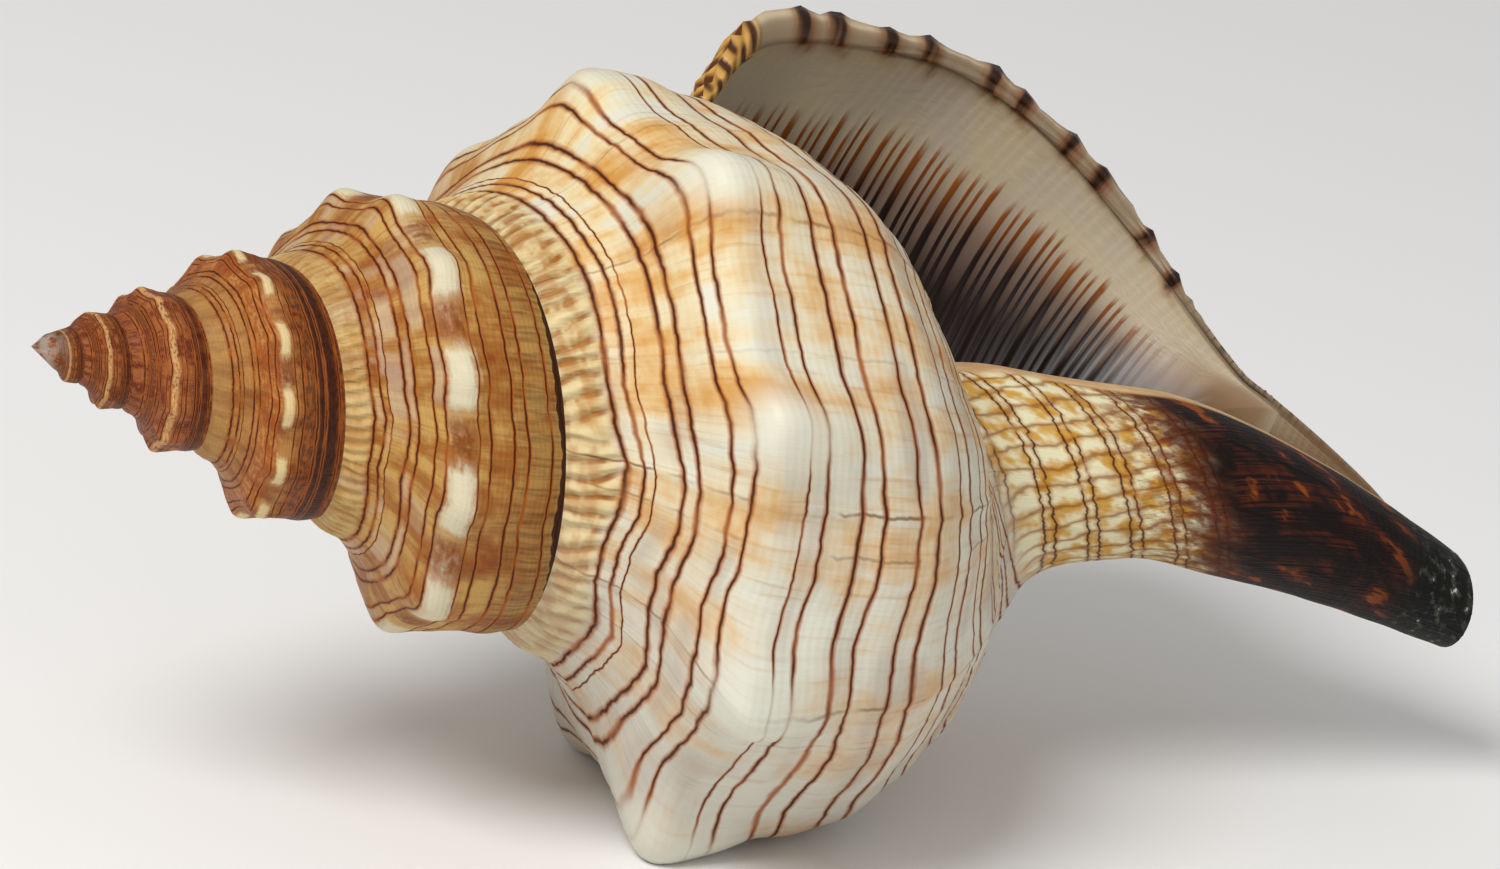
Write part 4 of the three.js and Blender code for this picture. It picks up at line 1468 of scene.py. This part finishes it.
    def lay_braid(self, k: Sketch, paint: Paint, marks: Markings, mottle: Wire) -> Wire:
        """Lays the woven strip beside the lip's shoulder; the height of its strands is returned."""
        turn, line = k.attribute("grow_turn"), k.attribute("grow_line")
        strip = (turn + (mottle - 0.5) * 0.012).rise(*self.strip_turns)
        strip = strip * line.rise(marks.braid_end + 1, marks.braid_end - 3)
        strand = marks.braid(turn, line)
        paint.coat(strip, k.blend(strand.rise(0.2, 0.75), self.strand_dark, self.strand_gold))
        return strand * strip

    def lay_ends(self, k: Sketch, paint: Paint) -> None:
        """Lays the chalky apex and the glazed callus of the inner lip."""
        turn, axis = k.attribute("grow_turn"), k.attribute("axis_mm")
        chalky = k.noise(turn * 8.0, axis * 1.4, 30.0, 3.0).rise(0.34, 0.58)
        paint.coat(axis.rise(*self.apex_mm) * chalky * 0.8, self.chalk)
        glaze = k.noise(axis * 0.25, turn * 30.0, 31.0, 3.0).rise(0.35, 0.65)
        paint.coat(k.attribute("callus"), k.blend(glaze, self.callus_tan, self.callus))


@dataclass(frozen=True)
class InsideFinish(Finish):
    """Porcelain inside with dark ridges, dark spots on the lip's edge and a cream inner lip."""

    name: str = "shell_inside"
    coat: float = 0.06
    coat_roughness: float = 0.25
    gloss: float = 0.25
    roughness: float = 0.24
    porcelain: str = "b4a592"
    cream: str = "bdac8c"
    base_cream: str = "c6b79c"
    wing_tan: str = "a08462"
    # flute and shoulder are painted light: pale crests of the ridges near the rim, and a lit zone towards the
    # suture
    flute: str = "d9d0bf"
    shoulder: str = "cabd9e"
    # lilac, way_tan and deep are painted shade that darkens the inside with depth; deep is partly the
    # inside's own dark colour too
    lilac: str = "70544a"
    way_tan: str = "8e6c48"
    deep: str = "150b08"
    ridge_rust: str = "8c4a14"
    ridge_brown: str = "1a0805"
    edge_cream: str = "c0a47c"
    edge_grey: str = "75604a"
    spot_rust: str = "7c4312"
    spot_dark: str = "1e0c05"
    strand_dark: str = "4e280c"
    strand_gold: str = "cf9c50"
    strip_border: str = "3a1c0a"
    callus: str = "dcb98c"
    tip_tan: str = "8a6a4c"
    edge_mm: float = 1.0
    mm_per_turn: float = 270.0
    base_lines: Span = (52.0, 84.0)
    wing_lines: Span = (92.0, 112.0)
    shoulder_lines: Span = (54.0, 34.0)
    way_lines: Span = (80.0, 90.0)
    lilac_turns: Span = (-0.030, -0.062)
    way_turns: Span = (-0.010, -0.040)
    deep_turns: Span = (-0.045, -0.100)
    smooth_turns: Span = (-0.060, -0.020)
    ridge_lines: tuple[Span, Span] = ((87.0, 76.0), (24.0, 32.0))
    pillar_lines: Span = (88.0, 84.0)
    tip_mm: Span = (132.0, 140.0)
    strip_mm: float = 2.6

    def make(self, marks: Markings) -> bpy.types.Material:
        """Builds the material."""
        material, k, shader = self.start()
        turn, line = k.attribute("grow_turn"), k.attribute("plain_line")
        cloud = k.noise(turn * 20.0, line * 0.12, 21.0, 3.0)
        paint = self.ground(k, marks, cloud)
        ridge = self.lay_ridges(k, paint, marks)
        inward = k.attribute("rim_share") * self.edge_mm - turn * self.mm_per_turn
        self.lay_edge(k, paint, marks, inward)
        woven = self.lay_strip(k, paint, marks, inward)
        paint.coat(k.attribute("pillar") * line.rise(*self.pillar_lines), self.callus)
        paint.coat(k.attribute("axis_mm").rise(*self.tip_mm) * 0.7, self.tip_tan)
        k.feed(shader.inputs["Base Color"], paint.colour)
        k.feed(shader.inputs["Roughness"], self.roughness + cloud * 0.16 + ridge * 0.10)
        fine = k.noise(turn * 300.0, line * 0.6, 25.0, 3.0)
        near_rim = turn.rise(*self.smooth_turns)
        self.bump(k, shader, (ridge * 0.5 + fine * 0.25) * near_rim + woven * 1.8, 0.25)
        return material

    def ground(self, k: Sketch, marks: Markings, cloud: Wire) -> Paint:
        """Coats of the porcelain: painted light on the ridge crests and towards the suture, and painted shade
        that makes it darker and browner with the depth, partly its own darker colour.
        """
        turn, line = k.attribute("grow_turn"), k.attribute("plain_line")
        paint = Paint(k, cloud.rise(0.35, 0.65), self.porcelain, self.cream)
        paint.coat(line.rise(*self.base_lines) * 0.7, self.base_cream)
        paint.coat(line.rise(*self.wing_lines) * 0.8, self.wing_tan)
        # painted light on the crests of the ridges near the rim
        flute = (k.attribute("grow_lira").wave() ** 2.0) * turn.rise(-marks.lira_start - 0.004, -0.004)
        paint.coat(flute * 0.25, self.flute)
        # painted light: paler towards the suture
        paint.coat(line.rise(*self.shoulder_lines) * 0.6, self.shoulder)
        # painted shade: the inside darkens with depth, warmer near the canal and near black deepest, partly
        # its own dark colour
        paint.coat(turn.rise(*self.lilac_turns) * 0.8, self.lilac)
        paint.coat(turn.rise(*self.way_turns) * line.rise(*self.way_lines) * 0.75, self.way_tan)
        paint.coat(turn.rise(*self.deep_turns), self.deep)
        return paint

    def lay_ridges(self, k: Sketch, paint: Paint, marks: Markings) -> Wire:
        """Lays the dark ridges, rusty where they begin; their share is returned."""
        turn, line, lira = k.attribute("grow_turn"), k.attribute("plain_line"), k.attribute("grow_lira")
        start = -marks.lira_start
        each = k.noise(lira.math("ROUND") * 3.3, 0.0, 23.0)
        reach = turn + (k.noise(line * 0.7, 0.0, 22.0) * 0.030 - 0.015) + each * 0.016 - 0.008
        begun = reach.rise(start + 0.006, start - 0.006)
        deep = turn.rise(start - 0.01, start - 0.10)
        thin = (lira.wave() + deep * 0.55 + (each - 0.5) * 0.25).rise(0.56, 0.88)
        low, high = self.ridge_lines
        weight = each.rise(0.20, 0.38) * line.rise(*low) * line.rise(*high)
        ink = k.blend(reach.rise(start, start - 0.03), self.ridge_rust, self.ridge_brown)
        ridge = thin * begun * weight * (1.0 - k.attribute("pillar"))
        paint.coat(ridge, ink)
        return ridge

    def lay_edge(self, k: Sketch, paint: Paint, marks: Markings, inward: Wire) -> None:
        """Lays the lip's edge with its dark spots, and painted shade on the rim face.

        Args:
            k: the material's sketch.
            paint: coats so far.
            marks: places of the spots.
            inward: distance from the outer edge of the lip in millimetres.
        """
        turn, line = k.attribute("grow_turn"), k.attribute("plain_line")
        blur = k.noise(turn * 90.0, line * 0.8, 24.0, 3.0, 0.6) - 0.5
        core_line = line + blur * 1.4 - inward * 0.3
        tail_line = line + blur * 1.8 - inward * 0.4
        core = most_of(core_line.near(at, 0.3, 1.1) for at in marks.lip_spots)
        tail = most_of(tail_line.near(at, 0.3, 2.1) for at in marks.lip_spots)
        length = inward + blur * 3.0 + k.noise(line * 0.4, 0.0, 28.0) * 3.0 - 1.5
        nibs = k.noise(line * 0.9, 0.0, 29.0).rise(0.46, 0.60) * line.rise(78.0, 84.0) * inward.rise(1.1, 0.2)
        paint.coat(inward.rise(5.0, 1.2) * 0.45, self.edge_cream)
        # painted shade: the rim face is darkened so it does not stand out lighter than the inside
        rim = k.attribute("rim_share").rise(0.10, 0.45) * inward.rise(1.8, 1.0)
        paint.coat(rim * 0.72, self.edge_grey)
        paint.coat(tail * length.rise(3.6, 0.6) * 0.80, self.spot_rust)
        paint.coat((core * length.rise(1.9, 0.5)).most(nibs) * 0.95, self.spot_dark)

    def lay_strip(self, k: Sketch, paint: Paint, marks: Markings, inward: Wire) -> Wire:
        """Lays the woven strip at the lip's shoulder; the height of its strands is returned."""
        line = k.attribute("plain_line")
        strand = ((line + inward * 0.6) / 1.9).wave() * 0.5 + ((line - inward * 1.1) / 2.7).wave() * 0.5
        strip = line.rise(marks.braid_end, marks.braid_end - 1.5)
        braid = k.blend(strand.rise(0.15, 0.75), self.strand_dark, self.strand_gold)
        paint.coat(strip * inward.rise(self.strip_mm, self.strip_mm - 0.3), braid)
        paint.coat(strip * inward.near(self.strip_mm - 0.1, 0.1, 0.5) * 0.8, self.strip_border)
        return strand * strip * inward.rise(self.strip_mm, self.strip_mm - 0.4)


@dataclass
class Conch:
    """The shell: its surface, its relief and its two finishes."""

    mesh: ShellMesh = field(default_factory=ShellMesh)
    marks: Markings = field(default_factory=Markings)
    relief: Relief = field(default_factory=Relief)
    resting: Resting = field(default_factory=Resting)
    seam_fade: float = 1.3
    canal_calm: float = 0.7
    callus_radius: float = 10.0
    callus_width: float = 4.0
    callus_fade: float = 1.2
    callus_from: float = 4.6
    callus_turn: float = -0.8
    edge_room: float = 0.8 * MM

    def point_values(self, points: np.ndarray) -> dict[str, np.ndarray]:
        """Numbers of each vertex that the relief and the finishes read."""
        form = self.mesh.form
        spec = np.array(self.mesh.spec)
        zones = np.array(self.mesh.zones)
        turn, place = spec[:, 0], spec[:, 1]
        line = form.line(place)
        outer = zones == Zone.OUTSIDE.value
        spire = turn < -1 - 0.5 / KEYS_PER_TURN
        low = form.line(np.array([float(self.mesh.overlap_span)]))[0]
        free = smooth(line / self.seam_fade) * np.where(spire, smooth((low - line) / self.seam_fade), 1.0)
        along_turn = form.knob(turn, np.full_like(place, form.knob_place)) / form.knob_height
        rim = zones == Zone.RIM.value
        return {
            "turn": turn,
            "line": line,
            "size": form.size(turn),
            "free": free,
            "skin": np.where(outer, 1 - self.canal_calm * smooth((place - 7) / 1.5), 0.0),
            "wall": (zones == Zone.WALL.value).astype(float),
            "rim": rim.astype(float),
            "rim_share": np.where(rim, spec[:, 2] / self.mesh.lip_thickness, np.where(outer, 0.0, 1.0)),
            "pillar": (zones == Zone.PILLAR.value).astype(float),
            "lira": self.marks.lira(line),
            "knob": np.where(outer, form.knob(turn, place) / form.knob_height, 0.0),
            "rib": np.where(outer & (turn > -1 + 1 / KEYS_PER_TURN), along_turn, 0.0),
            "bulge": np.where(outer, along_turn, 0.0),
            "axis_mm": points[:, 0],
        }

    def corner_values(self, points: np.ndarray) -> dict[str, np.ndarray]:
        """Numbers of each face corner, which differ on the two sides of a suture."""
        form = self.mesh.form
        corners = np.array(self.mesh.corners)
        turn, place = corners[:, 0], corners[:, 1]
        line = form.line(place)
        ids = np.concatenate([np.array(f) for f in self.mesh.faces])
        axis = points[ids, 0]
        behind = (turn + 1 - form.slit(place)) * 2 * np.pi * self.callus_radius
        fading = 1 - smooth((behind - self.callus_width) / self.callus_fade)
        callus = np.where((place > self.callus_from) & (turn < self.callus_turn), fading, 0.0)
        return {
            "grow_turn": turn,
            "plain_line": line,
            "grow_line": self.marks.shifted(turn, line),
            "grow_lira": self.marks.lira(line),
            "canal_line": self.marks.canal_line(axis, turn),
            "callus": callus,
        }

    def build(self) -> bpy.types.Object:
        """Makes the shell as one plain mesh with its relief and finishes.

        Returns:
            The shell's object.
        """
        points = self.mesh.make()
        places = self.resting.placed(points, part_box("shell"))
        mesh = bpy.data.meshes.new("conch")
        mesh.from_pydata(places.tolist(), [], self.mesh.faces)
        for domain, values in (("POINT", self.point_values(points)), ("CORNER", self.corner_values(points))):
            for name, numbers in values.items():
                layer = mesh.attributes.new(name, "FLOAT", domain)
                layer.data.foreach_set("value", numbers.astype(np.float32))
        mesh.attributes.new("inner", "BOOLEAN", "FACE").data.foreach_set("value", self.mesh.inner)
        mesh.shade_smooth()
        obj = bpy.data.objects.new("conch", mesh)
        bpy.context.collection.objects.link(obj)
        self.relief.apply(obj, self.marks, OutsideFinish().make(self.marks), InsideFinish().make(self.marks))
        self.wear(obj.data)
        return obj

    def wear(self, mesh: bpy.types.Mesh) -> None:
        """Holds the mesh inside the solid's box, which grinds the flats that it rests on."""
        places = np.empty(len(mesh.vertices) * 3)
        mesh.vertices.foreach_get("co", places)
        low, high = (np.array(corner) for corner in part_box("shell"))
        places = places.reshape(-1, 3)
        room = self.edge_room
        for side, limit in ((1, high), (-1, low)):
            left = (limit - places) * side
            kept = limit - side * room * np.exp(np.minimum(left, room) / room - 1)
            held = left < room
            if side < 0:
                held[:, 2] = False
            places = np.where(held, kept, places)
        places[:, 2] = np.maximum(places[:, 2], low[2])
        mesh.vertices.foreach_set("co", places.ravel())
        mesh.update()


@dataclass(frozen=True)
class Studio:
    """Camera, floor and light."""

    camera_mm: tuple[float, float, float] = (-277.7, -545.7, 244.3)
    camera_turn_deg: tuple[float, float, float] = (70.857, -8.022, -24.208)
    lens_mm: float = 167.0
    sensor_mm: float = 36.0
    clip_m: Span = (0.01, 50.0)
    floor_width: float = 6.0
    floor_pale: str = "f4f3f1"
    floor_roughness: float = 0.9
    world_strength: float = 0.45
    lights: tuple[tuple[str, tuple[float, float, float], float, float], ...] = (
        ("soft_box", (-0.50, -0.32, 0.72), 0.40, 5.8),
        ("front_fill", (0.1, -0.9, 0.5), 0.5, 0.5),
    )

    def make_camera(self) -> None:
        """Camera at the photograph's viewing angle."""
        data = bpy.data.cameras.new("camera")
        data.lens = self.lens_mm
        data.sensor_width = self.sensor_mm
        data.clip_start, data.clip_end = self.clip_m
        camera = bpy.data.objects.new("camera", data)
        camera.location = Vector(self.camera_mm) * MM
        camera.rotation_euler = [math.radians(angle) for angle in self.camera_turn_deg]
        bpy.context.collection.objects.link(camera)
        bpy.context.scene.camera = camera
        bpy.context.scene.view_settings.view_transform = "Standard"

    def make_floor(self) -> None:
        """Plain pale floor."""
        half = self.floor_width / 2
        mesh = bpy.data.meshes.new("floor")
        corners = [(-half, -half, 0), (half, -half, 0), (half, half, 0), (-half, half, 0)]
        mesh.from_pydata(corners, [], [(0, 1, 2, 3)])
        floor = bpy.data.objects.new("floor", mesh)
        bpy.context.collection.objects.link(floor)
        material = bpy.data.materials.new("floor_pale")
        material.use_nodes = True
        shader = next(n for n in material.node_tree.nodes if n.type == "BSDF_PRINCIPLED")
        shader.inputs["Base Color"].default_value = tint(self.floor_pale)
        shader.inputs["Roughness"].default_value = self.floor_roughness
        mesh.materials.append(material)

    def make_lights(self) -> None:
        """Soft box above the shell to the left, a weak one from the front, and an even sky."""
        for name, place, size, power in self.lights:
            data = bpy.data.lights.new(name, "AREA")
            data.shape = "DISK"
            data.size = size
            data.energy = power
            light = bpy.data.objects.new(name, data)
            light.location = place
            light.rotation_euler = (-Vector(place)).to_track_quat("-Z", "Y").to_euler()
            bpy.context.collection.objects.link(light)
        world = bpy.data.worlds.new("sky")
        world.use_nodes = True
        light = world.node_tree.nodes["Background"]
        light.inputs["Color"].default_value = tint("ffffff")
        light.inputs["Strength"].default_value = self.world_strength
        bpy.context.scene.world = world


def main() -> None:
    """Makes the scene: the shell, then the floor, the lights and the camera."""
    shell = Conch()
    obj = shell.build()
    LOG.info("%s: %d faces", obj.name, len(obj.data.polygons))
    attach(obj, "root")
    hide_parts("shell")
    studio = Studio()
    studio.make_camera()
    studio.make_floor()
    studio.make_lights()
    LOG.info("floor, lights and camera")


if __name__ == "__main__":
    logging.basicConfig(level=logging.INFO)
    main()
